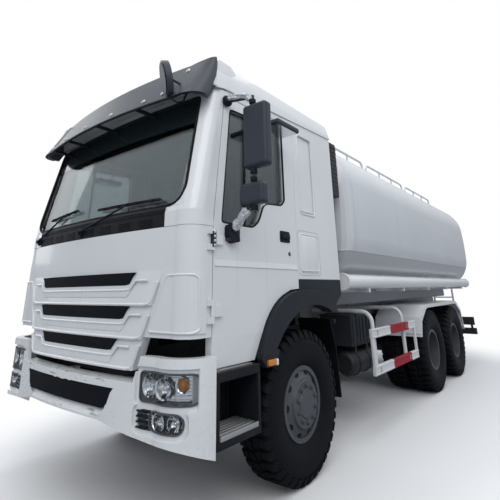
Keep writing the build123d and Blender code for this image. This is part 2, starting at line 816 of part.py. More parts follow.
# Side guards on bent hangers
guard_in = GUARD_Y - GUARD_T
POSTS = (GUARD_FRONT + 150, GUARD_REAR - 360)
guard = None
for low, high in ((GUARD_LOW, GUARD_LOW + GUARD_RAIL_H), (GUARD_TOP - GUARD_RAIL_H, GUARD_TOP)):
    strip = block(fa(-GUARD_REAR), fa(-GUARD_FRONT), guard_in, GUARD_Y, low, high)
    guard = strip if guard is None else guard + strip
hanger_y = guard_in - HANGER_R + 4
bend = 120
for x in POSTS:
    guard += rod((fa(-x), hanger_y, GUARD_LOW + 10), (fa(-x), hanger_y, HANGER_Z - bend), HANGER_R)
    path = Wire([
        Edge.make_line((fa(-x), hanger_y, HANGER_Z - bend - 5), (fa(-x), hanger_y, HANGER_Z - bend)),
        Edge.make_three_point_arc(
            (fa(-x), hanger_y, HANGER_Z - bend),
            (fa(-x), hanger_y - bend * (1 - 0.5 ** 0.5), HANGER_Z - bend * (1 - 0.5 ** 0.5)),
            (fa(-x), hanger_y - bend, HANGER_Z),
        ),
        Edge.make_line((fa(-x), hanger_y - bend, HANGER_Z), (fa(-x), half_frame, HANGER_Z)),
    ])
    start = Plane(origin=(fa(-x), hanger_y, HANGER_Z - bend - 5), z_dir=(0, 0, 1))
    guard += sweep(start * Circle(HANGER_R), path=path)
save("side_guards", both(guard))

# Battery box, air tanks and fuel tank
BATTERY_W = 400
RIB_PROUD = 20
battery_x = (fa(-BATTERY_REAR), fa(-BATTERY_FRONT))
battery_in = BATTERY_OUT - RIB_PROUD - BATTERY_W
battery = block(*battery_x, battery_in, BATTERY_OUT - RIB_PROUD, BATTERY_LOW, BATTERY_TOP)
battery += block(
    battery_x[0] + 60, battery_x[1] - 60, half_frame, battery_in + 5, BATTERY_LOW + 60, BATTERY_LOW + 200,
)
RIBS = 6
rib_pitch = (BATTERY_REAR - BATTERY_FRONT) / RIBS
for i in range(RIBS):
    x = -BATTERY_FRONT - rib_pitch * (i + 0.5)
    battery += block(
        fa(x) - rib_pitch * 0.3, fa(x) + rib_pitch * 0.3, BATTERY_OUT - RIB_PROUD - 5, BATTERY_OUT,
        BATTERY_LOW + 15, BATTERY_TOP - 15,
    )
save("battery_box", battery)
air_tanks = []
for y in (BATTERY_OUT - 110, BATTERY_OUT - 110 - 2 * AIR_TANK_R - 25):
    vessel = rod((battery_x[0] - 60, y, AIR_TANK_Z), (battery_x[1] + 60, y, AIR_TANK_Z), AIR_TANK_R)
    vessel = fillet(vessel.edges().filter_by(GeomType.CIRCLE), AIR_TANK_R * 0.4)
    for x in (BATTERY_FRONT + 120, BATTERY_REAR - 120):
        vessel += block(fa(-x) - 20, fa(-x) + 20, y - 70, y + 70, AIR_TANK_Z + 80, BATTERY_LOW)
    air_tanks.append(vessel)
save("air_tanks", air_tanks)
fuel = block(fa(-FUEL_REAR), fa(-FUEL_FRONT), -FUEL_OUT, -FUEL_IN, FUEL_LOW, FUEL_TOP)
fuel = fillet(fuel.edges().filter_by(Axis.X), 90)
for x in (FUEL_FRONT + 220, FUEL_REAR - 220):
    fuel += block(fa(-x) - 45, fa(-x) + 45, -FUEL_IN - 20, -half_frame, frame_low + 40, FUEL_TOP - 110)
save("fuel_tank", fuel)

# Rear mudguards
fender_line = [
    (R1X + 650, TYRE_R + 230),
    (R1X + 560, TYRE_R + 480),
    (R1X + 300, FENDER_TOP - 18),
    (R1X + 200, FENDER_TOP),
    (R2X - 200, FENDER_TOP),
    (R2X - 300, FENDER_TOP - 18),
    (R2X - 560, TYRE_R + 480),
    (R2X - 650, TYRE_R + 130),
]
fender_under = [
    (R2X - 650 + FENDER_T, TYRE_R + 130),
    (R2X - 560 + FENDER_T, TYRE_R + 480 - FENDER_T),
    (R2X - 300 + FENDER_T, FENDER_TOP - 18 - FENDER_T),
    (R2X - 200, FENDER_TOP - FENDER_T),
    (R1X + 200, FENDER_TOP - FENDER_T),
    (R1X + 300 - FENDER_T, FENDER_TOP - 18 - FENDER_T),
    (R1X + 560 - FENDER_T, TYRE_R + 480 - FENDER_T),
    (R1X + 650 - FENDER_T, TYRE_R + 230),
]
fender_deep = []
for x, z in fender_under:
    inward = 20 if x < tandem_x else -20
    drop = FENDER_LIP if z > TYRE_R + 240 else 0
    fender_deep.append((x + inward, z - drop))
fender = slab_xz(fender_line + fender_under, FENDER_IN, BODY_HALF_WIDTH)
fender += slab_xz(fender_line + fender_deep, BODY_HALF_WIDTH - FENDER_T, BODY_HALF_WIDTH)
STAYS = ((R1X + 622, TYRE_R + 270), (tandem_x, FENDER_TOP - FENDER_T - 20), (R2X - 622, TYRE_R + 200))
for x, z in STAYS:
    fender += rod((x, half_frame, z), (x, BODY_HALF_WIDTH - 3, z), 22)
save("rear_fenders", both(fender))

# Rear ladder, underrun bar, tail lamps and outlet
tail_x = tank_x[0] - DOME_DEPTH
ladder_x = -LENGTH / 2 + 22
LADDER_Y = (380, 780)
ladder = None
for y in LADDER_Y:
    stile = rod((ladder_x, y, 820), (ladder_x, y, TANK_TOP - 20), 20)
    ladder = stile if ladder is None else ladder + stile
RUNGS = 8
for i in range(RUNGS):
    z = 900 + i * (TANK_TOP - 1000) / (RUNGS - 1)
    ladder += rod((ladder_x, LADDER_Y[0], z), (ladder_x, LADDER_Y[1], z), 14)
for z in (TANK_LOW + 400, TANK_TOP - 420):
    for y in LADDER_Y:
        ladder += rod((ladder_x, y, z), (tail_x, y, z), 16)
save("rear_ladder", ladder)
bar_x = fa(-FRAME_REAR)
underrun = block(bar_x - 90, bar_x, -1200, 1200, 480, 600)
for s in (-1, 1):
    underrun += block(bar_x - 60, bar_x, s * rail_in, s * half_frame, 590, FRAME_TOP)
for s in (-1, 1):
    underrun += block(bar_x - 80, bar_x - 40, s * (half_frame - 5), s * 1180, 660, 820)
    underrun += block(bar_x - 80, bar_x - 40, s * 1100, s * 1140, 590, 670)
save("rear_underrun", underrun)
tail_lamps = []
for s in (-1, 1):
    tail_lamps.append(block(bar_x - 130, bar_x - 80, s * 760, s * 1170, 675, 805))
OUTLET_R = 50
OUTLET_FLANGE_R = 100
OUTLET_PCD = 160
OUTLET_HOLE_R = 9
OUTLET_X = 6850
OUTLET_Z = 1010
OUTLET_Y = 600
OUTLET_T = 6
FLANGE_THICK = 22
outlet_end = fa(-OUTLET_X) - 300
pipe_r = OUTLET_R + OUTLET_T
outlet_x = fa(-OUTLET_X)
outlet = rod((outlet_x, -OUTLET_Y, OUTLET_Z - pipe_r), (outlet_x, -OUTLET_Y, TANK_LOW), pipe_r)
OUTLET_RODS = (
    # start x, end x, end height above the pipe, radius
    (outlet_x, outlet_end, 0, pipe_r),
    (outlet_x - 90, outlet_x - 190, 0, pipe_r + 18),
    (outlet_x - 140, outlet_x - 140, 150, 12),
    (outlet_end, outlet_end + FLANGE_THICK, 0, OUTLET_FLANGE_R),
)
for start, end, rise, r in OUTLET_RODS:
    outlet += rod((start, -OUTLET_Y, OUTLET_Z), (end, -OUTLET_Y, OUTLET_Z + rise), r)
outlet -= rod((outlet_end - 5, -OUTLET_Y, OUTLET_Z), (outlet_end + 90, -OUTLET_Y, OUTLET_Z), OUTLET_R)
for i in range(8):
    a = radians(45 * i + 22.5)
    py = -OUTLET_Y + OUTLET_PCD / 2 * cos(a)
    pz = OUTLET_Z + OUTLET_PCD / 2 * sin(a)
    outlet -= rod((outlet_end - 5, py, pz), (outlet_end + FLANGE_THICK + 5, py, pz), OUTLET_HOLE_R)
save("outlet_pipe", outlet)


def plan(front_mid, front_edge, edge_y, side_x, half):
    """Bowed front with rounded corners, open behind at side_x."""
    corner_x = front_edge - (half - edge_y) * 0.75
    return [
        (side_x, -half),
        (corner_x, -half),
        (front_edge - (half - edge_y) * 0.22, -half + (half - edge_y) * 0.22, "via"),
        (front_edge, -edge_y),
        (front_mid, 0, "via"),
        (front_edge, edge_y),
        (front_edge - (half - edge_y) * 0.22, half - (half - edge_y) * 0.22, "via"),
        (corner_x, half),
        (side_x, half),
    ]


def cab_plan(inset, side_x):
    """Cab front outline, inset from its outer face."""
    return plan(
        fa(FRONT_BOW - inset), fa(FRONT_BOW - FRONT_SAG - inset), CAB_HALF_W - CAB_CORNER,
        side_x, CAB_HALF_W - inset,
    )


# Front bumper with its lamps


def bumper_plan(inset, side_x):
    """Bumper outline, inset from its outer face."""
    return plan(
        fa(FRONT_OVERHANG - inset), fa(FRONT_OVERHANG - BUMPER_SAG - inset), BODY_HALF_WIDTH - BUMPER_CORNER,
        side_x, BODY_HALF_WIDTH - inset,
    )


def pocket(side, y_in, y_out, low, top, rim, round_r):
    """Rounded block for a lamp or, with a rim, for the recess round it."""
    y0, y1 = sorted((side * (y_in - rim), side * (y_out + rim)))
    body = block(lamp_x, LENGTH, y0, y1, low - rim, top + rim)
    return fillet(body.edges().filter_by(Axis.X), round_r + rim / 3)


LAMP_BACK = 1290
BUMPER_INSIDE = 1100
ahead = LENGTH
lamp_x = fa(LAMP_BACK)
bumper_out = bumper_plan(0, fa(BUMPER_REAR))
bumper_in = bumper_plan(BUMPER_T, fa(BUMPER_REAR) - 5)
lens_out = bumper_plan(LENS_INSET, fa(BUMPER_REAR))
recess_in = bumper_plan(RECESS_DEPTH, fa(BUMPER_REAR) - 5)
ring = shell_xy(bumper_out, bumper_in, BUMPER_LOW, BUMPER_TOP)
lens_ring = shell_xy(lens_out, bumper_in, BUMPER_LOW, BUMPER_TOP)
ring -= slab_yz([
    (-BUMPER_POD_Y, BUMPER_TOP + 5),
    (-BUMPER_POD_Y + POD_TAPER, BUMPER_MID_TOP),
    (BUMPER_POD_Y - POD_TAPER, BUMPER_MID_TOP),
    (BUMPER_POD_Y, BUMPER_TOP + 5),
], 0, ahead)
BUMPER_EDGE = (
    # half width, height of the lower edge across the front
    (480, BUMPER_MID_LOW), (700, 636), (1000, 606), (1260, 590), (1260, BUMPER_LOW - 5),
)
lower_edge = [(-y, z) for y, z in BUMPER_EDGE] + list(reversed(BUMPER_EDGE))
ring -= slab_yz(lower_edge, fa(BUMPER_FACE), ahead)
edge_front = BUMPER_LOW + EDGE_SLOPE * (FRONT_OVERHANG - BUMPER_REAR)
ring -= slab_xz([
    (fa(BUMPER_REAR) - 5, BUMPER_LOW - 5),
    (ahead, BUMPER_LOW - 5),
    (ahead, edge_front),
    (fa(FRONT_OVERHANG), edge_front),
    (fa(BUMPER_REAR), BUMPER_LOW),
], -BODY_HALF_WIDTH - 5, BODY_HALF_WIDTH + 5)
ring -= block(fa(BUMPER_INSIDE), ahead, -INTAKE_HALF_W, INTAKE_HALF_W, INTAKE_LOW, INTAKE_TOP)
scoop_half = INTAKE_HALF_W - SCOOP_TAPER
scoop = slab_yz([
    (-scoop_half, SCOOP_LOW),
    (scoop_half, SCOOP_LOW),
    (INTAKE_HALF_W, INTAKE_LOW),
    (-INTAKE_HALF_W, INTAKE_LOW),
], fa(BUMPER_INSIDE), ahead)
scoop_floor = loft([
    Pos(0, 0, SCOOP_LOW) * face_of(bumper_out),
    Pos(0, 0, INTAKE_LOW) * face_of(bumper_plan(SCOOP_DEPTH, fa(BUMPER_REAR))),
], ruled=True)
ring -= scoop - scoop_floor
recess = shell_xy(bumper_out, recess_in, BUMPER_LOW, BUMPER_TOP)
front_lamps = []
for s in (-1, 1):
    head = pocket(s, LAMP_IN, BODY_HALF_WIDTH + 20, LAMP_LOW, LAMP_TOP, 0, LAMP_ROUND)
    fog = pocket(s, FOG_IN, FOG_OUT, FOG_LOW, FOG_TOP, 0, FOG_ROUND)
    rim = pocket(s, LAMP_IN, BODY_HALF_WIDTH + 20, LAMP_LOW, LAMP_TOP, RECESS_RIM, LAMP_ROUND)
    rim += pocket(s, FOG_IN, FOG_OUT, FOG_LOW, FOG_TOP, RECESS_RIM, FOG_ROUND)
    ring = ring - head - fog - (recess & rim)
    front_lamps.append(lens_ring & head)
    front_lamps.append(lens_ring & fog)
bumper_inside = slab_xy(face_of(bumper_in), BUMPER_LOW, BUMPER_TOP)
bracket_x = FRONT_OVERHANG - BUMPER_T - 55
for s in (-1, 1):
    ring += block(fa(FRAME_FRONT), fa(bracket_x) + 5, s * rail_in, s * half_frame, BRACKET_LOW, BRACKET_TOP)
    bracket_end = s * (INTAKE_HALF_W + BRACKET_REACH)
    cross = block(fa(bracket_x), ahead, s * rail_in, bracket_end, BRACKET_LOW, BRACKET_TOP)
    ring += cross & bumper_inside
save("bumper", ring)
save("lamps", front_lamps, tail_lamps)

# Steps under the doors
step = block(fa(STEP_REAR), fa(STEP_FRONT), STEP_IN, BODY_HALF_WIDTH - 10, STEP_LOW, STEP_TOP)
tread_zs = (STEP_LOW + 50, STEP_TOP - 20)
step -= block(
    fa(STEP_REAR + 25), fa(STEP_FRONT) - 30, STEP_IN + 60, BODY_HALF_WIDTH,
    tread_zs[0] - 4, STEP_TOP - 60,
)
step -= block(
    fa(STEP_REAR + 40), fa(STEP_FRONT) - 40, STEP_IN + 90, BODY_HALF_WIDTH - 40,
    tread_zs[1] - TREAD_T / 2, STEP_TOP + 5,
)
step += block(
    fa(STEP_REAR + 60), fa(STEP_FRONT - 60), half_frame, STEP_IN + 5,
    frame_low + 40, frame_low + 120,
)
step_treads = []
for s in (1, -1):
    low = block(
        fa(STEP_REAR + 28), fa(STEP_FRONT) - 33, s * (STEP_IN + 120), s * (BODY_HALF_WIDTH - 12),
        tread_zs[0] - 4, tread_zs[0] - 4 + TREAD_T,
    )
    high = block(
        fa(STEP_REAR + 43), fa(STEP_FRONT) - 43, s * (STEP_IN + 93), s * (BODY_HALF_WIDTH - 43),
        tread_zs[1] - TREAD_T / 2, STEP_TOP,
    )
    step_treads.extend([low, high])
save("step_wells", both(step))
save("step_treads", step_treads)

# Front mudflaps behind the wheels
flap = slab_xz([
    (fa(-690), 475), (fa(-672), 475), (fa(-640), 900), (fa(-560), 1170), (fa(-585), 1178), (fa(-660), 905),
], 760, BODY_HALF_WIDTH - 120)
flap += block(fa(-680), fa(-640), half_frame, 765, 860, 900)
save("mudflaps", both(flap))

# Cab floor with engine tunnel and pivot arms
floor_half = CAB_HALF_W - WALL - RUN_GAP
floor_top = FLOOR_LOW + FLOOR_T
floor = block(fa(-CAB_REAR + WALL), fa(DOOR_FRONT) - 35, -floor_half, floor_half, FLOOR_LOW, floor_top)
front_in = cab_plan(WALL, fa(DOOR_FRONT) - 40)
toe_board = block(fa(DOOR_FRONT) - 40, fa(FLOOR_FRONT), -floor_half, floor_half, FLOOR_LOW, floor_top)
floor += toe_board & slab_xy(face_of(front_in), FLOOR_LOW, floor_top)
tunnel_x = (fa(-CAB_REAR + WALL), fa(TUNNEL_FRONT))
floor += block(*tunnel_x, -TUNNEL_HALF_W, TUNNEL_HALF_W, FLOOR_LOW, TUNNEL_TOP)
tunnel_in = TUNNEL_HALF_W - TUNNEL_T
tunnel_under = TUNNEL_TOP - TUNNEL_T
floor -= block(tunnel_x[0] - 5, tunnel_x[1] - TUNNEL_T, -tunnel_in, tunnel_in, FLOOR_LOW - 5, tunnel_under)
for s in (-1, 1):
    arm_in = s * PIVOT_ARM_Y
    arm_out = s * (PIVOT_ARM_Y + PIVOT_ARM_W)
    arm_x = (fa(PIVOT_X - PIVOT_BOSS_R), fa(PIVOT_X + PIVOT_BOSS_R))
    floor += block(*arm_x, arm_in, arm_out, PIVOT_Z, FLOOR_LOW)
    floor += rod((fa(PIVOT_X), arm_in, PIVOT_Z), (fa(PIVOT_X), arm_out, PIVOT_Z), PIVOT_BOSS_R)
    bore = [(fa(PIVOT_X), y, PIVOT_Z) for y in (arm_in - s * 5, arm_out + s * 5)]
    floor -= rod(*bore, PIVOT_R + SEAT_GAP)
save("cab_floor", floor)

# Door outline and its opening
ARCH_POINTS = [
    (fa(DOOR_FRONT), DOOR_LOW),
    (fa(706), DOOR_LOW),
    (fa(640), 1130),
    (fa(520), 1300, "via"),
    (fa(330), 1420),
    (fa(220), 1455),
    (fa(DOOR_REAR), 1462),
    (fa(DOOR_REAR), DOOR_TOP + 30),
    (fa(DOOR_FRONT - 110), DOOR_TOP),
    (fa(DOOR_FRONT), 1900),
]
door_face = face_of(ARCH_POINTS)
door_in = CAB_HALF_W - WALL


def door_slab(grow, y0, y1):
    """Door outline, grown all round, pulled through a wall."""
    face = offset(door_face, grow, kind=Kind.INTERSECTION) if grow else door_face
    return extrude(Plane(origin=(0, y1, 0), x_dir=(1, 0, 0), z_dir=(0, -1, 0)) * face, y1 - y0)


door_cut = door_slab(DOOR_GAP, door_in - 120, CAB_HALF_W + 120)
door_cuts = both(door_cut)

# Cab front: ring wall, grille, cowl, screen frame
front_out = cab_plan(0, fa(DOOR_FRONT) - 20)
front_wall = shell_xy(front_out, front_in, GRILLE_LOW, COWL_TOP)
grille_prism = slab_yz([
    (-GRILLE_LOW_HALF_W, GRILLE_LOW - 10),
    (GRILLE_LOW_HALF_W, GRILLE_LOW - 10),
    (GRILLE_TOP_HALF_W, GRILLE_TOP),
    (-GRILLE_TOP_HALF_W, GRILLE_TOP),
], fa(800), ahead)


def grille_plan(proud):
    """Cab front outline standing proud."""
    return plan(
        fa(FRONT_BOW + proud), fa(FRONT_BOW - FRONT_SAG + proud), CAB_HALF_W - GRILLE_CORNER,
        fa(DOOR_FRONT) - 20, CAB_HALF_W + proud,
    )


SLOTS = (
    # tier top, tier low, slot low, slot top, half width low, half width top
    (GRILLE_TOP, 1372, 1500, 1590, 560, 600),
    (1372, 1160, 1275, 1365, 545, 620),
    (1160, GRILLE_LOW, 1065, 1153, 450, 515),
)
grille = None
for tier_top, tier_low, slot_low, slot_top, half_low, half_top in SLOTS:
    face_low = Pos(0, 0, tier_low) * face_of(grille_plan(GRILLE_PROUD))
    face_top = Pos(0, 0, tier_top) * face_of(grille_plan(0))
    tier = loft([face_low, face_top], ruled=True) & grille_prism
    tier -= slab_xy(face_of(front_in), tier_low - 5, tier_top + 5)
    slot = slab_yz([
        (-half_low, slot_low), (half_low, slot_low), (half_top, slot_top), (-half_top, slot_top),
    ], fa(800), ahead)
    slot = fillet(slot.edges().filter_by(Axis.X).sort_by(Axis.Z)[:2], SLOT_ROUND)
    tier -= slot
    ledge_low = slot_low - LEDGE_DROP
    narrow = half_low - LEDGE_TAPER
    bay = slab_yz([
        (-narrow, ledge_low), (narrow, ledge_low), (half_low, slot_low), (-half_low, slot_low),
    ], fa(800), ahead)
    bay = fillet(bay.edges().filter_by(Axis.X).sort_by(Axis.Z)[:2], LEDGE_ROUND)
    ledge = loft([
        Pos(0, 0, ledge_low) * face_of(grille_plan(GRILLE_PROUD)),
        Pos(0, 0, slot_low) * face_of(grille_plan(GRILLE_PROUD - LEDGE_DEPTH)),
    ], ruled=True)
    tier -= bay - ledge
    grille = tier if grille is None else grille + tier
save("grille", grille)
panel = front_wall & block(fa(800), ahead, -2000, 2000, PANEL_LOW, PANEL_TOP)
grille_slant = (GRILLE_TOP_HALF_W - GRILLE_LOW_HALF_W) / (GRILLE_TOP - GRILLE_LOW + 10)
pad_in = [GRILLE_LOW_HALF_W + PAD_GAP + grille_slant * (z - GRILLE_LOW + 10) for z in (PAD_LOW, PAD_TOP)]
pad_shell = shell_xy(grille_plan(PAD_PROUD), front_in, PAD_LOW, PAD_TOP)
for s in (-1, 1):
    panel += pad_shell & slab_yz([
        (s * pad_in[0], PAD_LOW), (s * 2000, PAD_LOW), (s * 2000, PAD_TOP), (s * pad_in[1], PAD_TOP),
    ], fa(HINGE_X + HINGE_LEAF), ahead)
panel = panel - grille_prism - door_cuts[0] - door_cuts[1]
hinge_y = CAB_HALF_W + HINGE_OUT
HINGES = (1330, 1795)
HINGE_H = 34
for z in HINGES:
    for s in (-1, 1):
        for low, high in ((HINGE_H + SEAT_GAP, HINGE_H + 40), (-HINGE_H - 40, -HINGE_H - SEAT_GAP)):
            panel += rod((fa(HINGE_X), s * hinge_y, z + low), (fa(HINGE_X), s * hinge_y, z + high), HINGE_R)
            panel += block(
                fa(HINGE_X), fa(HINGE_X + HINGE_LEAF), s * (CAB_HALF_W - 5), s * (hinge_y + 6),
                z + low, z + high,
            )
        pin_ends = [(fa(HINGE_X), s * hinge_y, z + end) for end in (-HINGE_H - 40, HINGE_H + 40)]
        panel += rod(*pin_ends, HINGE_PIN_R)
save("front_panel", panel)
cowl = front_wall & block(fa(800), ahead, -2000, 2000, PANEL_TOP, COWL_TOP)
cowl = cowl - door_cuts[0] - door_cuts[1]
save("cowl", cowl)


def leaning(points, shift):
    """Plan outline moved back."""
    return [(p[0] - shift, *p[1:]) for p in points]


def screen_slab(outer):
    """Upper cab front leaning back between the cowl and the roof."""
    low = Pos(0, 0, COWL_TOP) * face_of(outer)
    high = Pos(0, 0, SCREEN_TOP) * face_of(leaning(outer, SCREEN_LEAN))
    return loft([low, high], ruled=True)


back_out = cab_plan(0, fa(DOOR_FRONT) - 60)
back_in = cab_plan(WALL, fa(DOOR_FRONT) - 80)
glass_out = cab_plan(SCREEN_SET, fa(DOOR_FRONT) - 60)
glass_in = cab_plan(SCREEN_SET + SCREEN_T, fa(DOOR_FRONT) - 80)
screen_hole = slab_yz([
    (-SCREEN_HALF_W - 15, COWL_TOP + 45),
    (SCREEN_HALF_W + 15, COWL_TOP + 45),
    (SCREEN_HALF_W - 10, SCREEN_TOP - 60),
    (-SCREEN_HALF_W + 10, SCREEN_TOP - 60),
], fa(1000), ahead)
screen_frame = screen_slab(back_out) - screen_slab(back_in)
pane = (screen_slab(glass_out) - screen_slab(glass_in)) & screen_hole
screen_frame = screen_frame - screen_hole - door_cuts[0] - door_cuts[1]
save("screen_frame", screen_frame)
save("windscreen", pane)

# Cab sides behind and above the doors
side_slope = (DRIP_REAR_Z - DRIP_FRONT_Z) / (CAB_REAR + 1060)


def drip_z(x):
    """Height of the drip rail at a place along the cab."""
    return DRIP_REAR_Z - side_slope * (x + CAB_REAR)


side_points = [
    (fa(-CAB_REAR), SIDE_LOW),
    (fa(DOOR_REAR + 100), SIDE_LOW),
    (fa(DOOR_REAR + 100), 2900),
    (fa(DOOR_FRONT - 124), 2900),
    (fa(DOOR_FRONT - 124), drip_z(DOOR_FRONT - 124)),
    (fa(-CAB_REAR), DRIP_REAR_Z),
]
side_panel = slab_xz(side_points, door_in, CAB_HALF_W) - door_cut
side_panel -= block(fa(-275), fa(-5), CAB_HALF_W - 14, CAB_HALF_W + 5, 2136, 2937)
side_panel -= screen_slab(back_out) - screen_slab(back_in)
save("cab_sides", both(side_panel))

# Cab back wall
back = block(fa(-CAB_REAR), fa(-CAB_REAR + WALL), -door_in, door_in, FLOOR_LOW, drip_z(-CAB_REAR + WALL))
back -= block(
    fa(-CAB_REAR) - 5, fa(-CAB_REAR + WALL) + 5, -tunnel_in, tunnel_in, FLOOR_LOW - 5, tunnel_under,
)
save("cab_back", back)

# Roof shell
roof_front = FRONT_BOW - SCREEN_LEAN - FRONT_SAG
roof_profile = [
    (fa(-CAB_REAR), DRIP_REAR_Z),
    (fa(roof_front), drip_z(roof_front)),
    (fa(roof_front + 30), drip_z(roof_front) + 110),
    (fa(roof_front - 60), ROOF_TOP - 70),
    (fa(roof_front - 420), ROOF_TOP - 10),
    (fa(-CAB_REAR + 250), ROOF_TOP),
    (fa(-CAB_REAR), ROOF_TOP - 45),
]
roof_inner = [
    (fa(-CAB_REAR + WALL), DRIP_REAR_Z - 60),
    (fa(roof_front - WALL), drip_z(roof_front) - 60),
    (fa(roof_front - WALL), drip_z(roof_front) + 90),
    (fa(roof_front - 420), ROOF_TOP - 10 - ROOF_T),
    (fa(-CAB_REAR + WALL), ROOF_TOP - ROOF_T - 45),
]


def roof_side(half, top, rise):
    """Cross section of the roof with sloped shoulders."""
    return slab_yz([
        (-half, 2500), (half, 2500), (half, top - rise - 40), (half - 40, top - rise * 0.45),
        (half - 160, top), (-half + 160, top), (-half + 40, top - rise * 0.45), (-half, top - rise - 40),
    ], fa(-CAB_REAR - 50), fa(FRONT_BOW))


roof = slab_xz(roof_profile, -CAB_HALF_W, CAB_HALF_W) & roof_side(CAB_HALF_W, ROOF_TOP, 160)
roof -= slab_xz(roof_inner, -door_in, door_in) & roof_side(door_in, ROOF_TOP - ROOF_T, 130)
roof -= screen_slab(back_out)
save("cab_roof", roof)

# Sun visor


def visor_body(inset, side_x):
    """Visor outline, inset from its outer face, pulled up and leaning back."""
    outline = plan(
        fa(VISOR_FRONT - inset), fa(VISOR_FRONT - VISOR_BOW - inset), VISOR_EDGE_Y,
        side_x, VISOR_HALF_W - inset,
    )
    low = Pos(0, 0, VISOR_LOW) * face_of(outline)
    high = Pos(0, 0, VISOR_TOP) * face_of(leaning(outline, VISOR_LEAN))
    return loft([low, high], ruled=True)


visor_out = visor_body(0, fa(VISOR_END))
visor = visor_out - visor_body(VISOR_T, fa(VISOR_END) - CUT_OVER) - roof
save("sun_visor", visor)

# Look-down mirror on the visor
LOOK_X = 1420
LOOK_Y = 930
LOOK_Z = 3035
LOOK_RADII = (95, 150)
LOOK_FRONT = 28
LOOK_BACK = 20
LOOK_ARM_R = 10
LOOK_ARMS = (
    # y at the visor, z at the visor
    (900, 2915), (985, 3000),
)
look_plane = Plane(origin=(fa(LOOK_X), LOOK_Y, LOOK_Z), x_dir=(0.55, 1, 0), z_dir=(1, -0.55, -0.25))
look = look_plane * Ellipse(*LOOK_RADII)
look_down = extrude(look, LOOK_FRONT) + extrude(look, -LOOK_BACK)
for y, z in LOOK_ARMS:
    look_down += rod((fa(LOOK_X - 10), LOOK_Y + 5, z + 50), (fa(LOOK_X - 132), y, z), LOOK_ARM_R)
look_down -= visor_out
save("look_down_mirror", max(look_down.solids(), key=lambda item: item.volume))

# Dashboard with the steering wheel on the truck's right
DASH_HALF_W = 1040
DASH_LOW = 1520
DASH_TOP = 1930
DASH_REAR = 980
WHEEL_Y = -550
dash = block(fa(DASH_REAR), fa(DOOR_FRONT) - 35, -DASH_HALF_W, DASH_HALF_W, DASH_LOW, DASH_TOP)
dash += block(fa(DOOR_FRONT) - 40, ahead, -DASH_HALF_W, DASH_HALF_W, DASH_LOW, DASH_TOP) & slab_xy(
    face_of(front_in), DASH_LOW, DASH_TOP
)
column_foot = (fa(DASH_REAR + 40), WHEEL_Y, 1790)
column_head = (fa(DASH_REAR - 190), WHEEL_Y, 1990)
dash += rod(column_foot, column_head, 32)
column_axis = (-190 - 40, 0, 200)
wheel_plane = Plane(origin=column_head, x_dir=(0, 1, 0), z_dir=column_axis)
dash += wheel_plane * Torus(225, 17)
for spoke in (-90, 30, 150):
    a = radians(spoke)
    rim_at = wheel_plane.from_local_coords(Vector(222 * cos(a), 222 * sin(a), 0))
    dash += rod(column_head, tuple(rim_at), 13)
save("dashboard", dash)

# Seats
SEAT_W = 500
SEAT_Y = 560
seat = block(fa(90), fa(500), TUNNEL_HALF_W + 15, SEAT_Y + 210, floor_top, 1705)
seat += slab_xz([
    (fa(20), 1700), (fa(560), 1700), (fa(575), 1800), (fa(540), 1850), (fa(40), 1830),
], SEAT_Y - SEAT_W / 2, SEAT_Y + SEAT_W / 2)
seat += slab_xz([
    (fa(30), 1780), (fa(150), 1820), (fa(60), 2480), (fa(10), 2520), (fa(-70), 2500),
], SEAT_Y - SEAT_W / 2 + 15, SEAT_Y + SEAT_W / 2 - 15)
seat += slab_xz([
    (fa(-60), 2480), (fa(45), 2480), (fa(30), 2720), (fa(-65), 2720),
], SEAT_Y - 150, SEAT_Y + 150)
save("seats", both(seat))

# Wipers resting low on the screen
cowl_back = SCREEN_LEAN / (SCREEN_TOP - COWL_TOP)


def screen_x(y, z):
    """X of the screen's outer face at a place across and up."""
    return fa(FRONT_BOW - 14) - FRONT_SAG * (y / (CAB_HALF_W - 160)) ** 2 - cowl_back * max(0, z - COWL_TOP)


WIPERS = ((-960, -760, 2120, -230, 2150), (-90, 120, 2105, 880, 2090))
wiper_set = []
PIVOT_LIFT = COWL_TOP - 50
for pivot_y, y0, z0, y1, z1 in WIPERS:
    post_x = screen_x(pivot_y, PIVOT_LIFT) + 14
    post = rod((post_x - 30, pivot_y, PIVOT_LIFT), (post_x + 38, pivot_y, PIVOT_LIFT), 16) - front_wall
    post = max(post.solids(), key=lambda item: item.center().X)
    mid = ((y0 + y1) / 2, (z0 + z1) / 2)
    arm_end = (screen_x(*mid) + 26, *mid)
    wiper = post + rod((post_x + 28, pivot_y, PIVOT_LIFT), arm_end, 8)
    wiper += rod((screen_x(y0, z0) + 24, y0, z0), (screen_x(y1, z1) + 24, y1, z1), 8)
    wiper_set.append(wiper)
save("wipers", wiper_set)

# Air intake column on the cab's back
intake = block(fa(-CAB_REAR - 130), fa(-CAB_REAR), 960, 1120, 1640, 2450)
intake += block(fa(-CAB_REAR - 170), fa(-CAB_REAR), 930, 1136, 2440, 3050)
save("air_intake", intake)

# Wheel arches on the cab
arch_in = floor_half
flare = slab_xz([
    (fa(534), 1000),
    (fa(698), 1000),
    (fa(470), 1335, "via"),
    (fa(60), ARCH_TOP),
    (fa(-300), 1400, "via"),
    (fa(-520), 1250),
    (fa(-410), 1250),
    (fa(80), ARCH_INNER_TOP, "via"),
], arch_in, BODY_HALF_WIDTH)
flare += slab_xz([
    (fa(DOOR_REAR), ARCH_INNER_TOP + 60),
    (fa(DOOR_REAR), SIDE_LOW),
    (fa(-CAB_REAR), SIDE_LOW),
    (fa(-CAB_REAR), 1400),
    (fa(-520), 1260),
    (fa(-430), 1260),
    (fa(-200), ARCH_INNER_TOP + 40),
], door_in, CAB_HALF_W)
flare -= door_cut
save("wheel_arches", both(max(flare.solids(), key=lambda item: item.volume)))

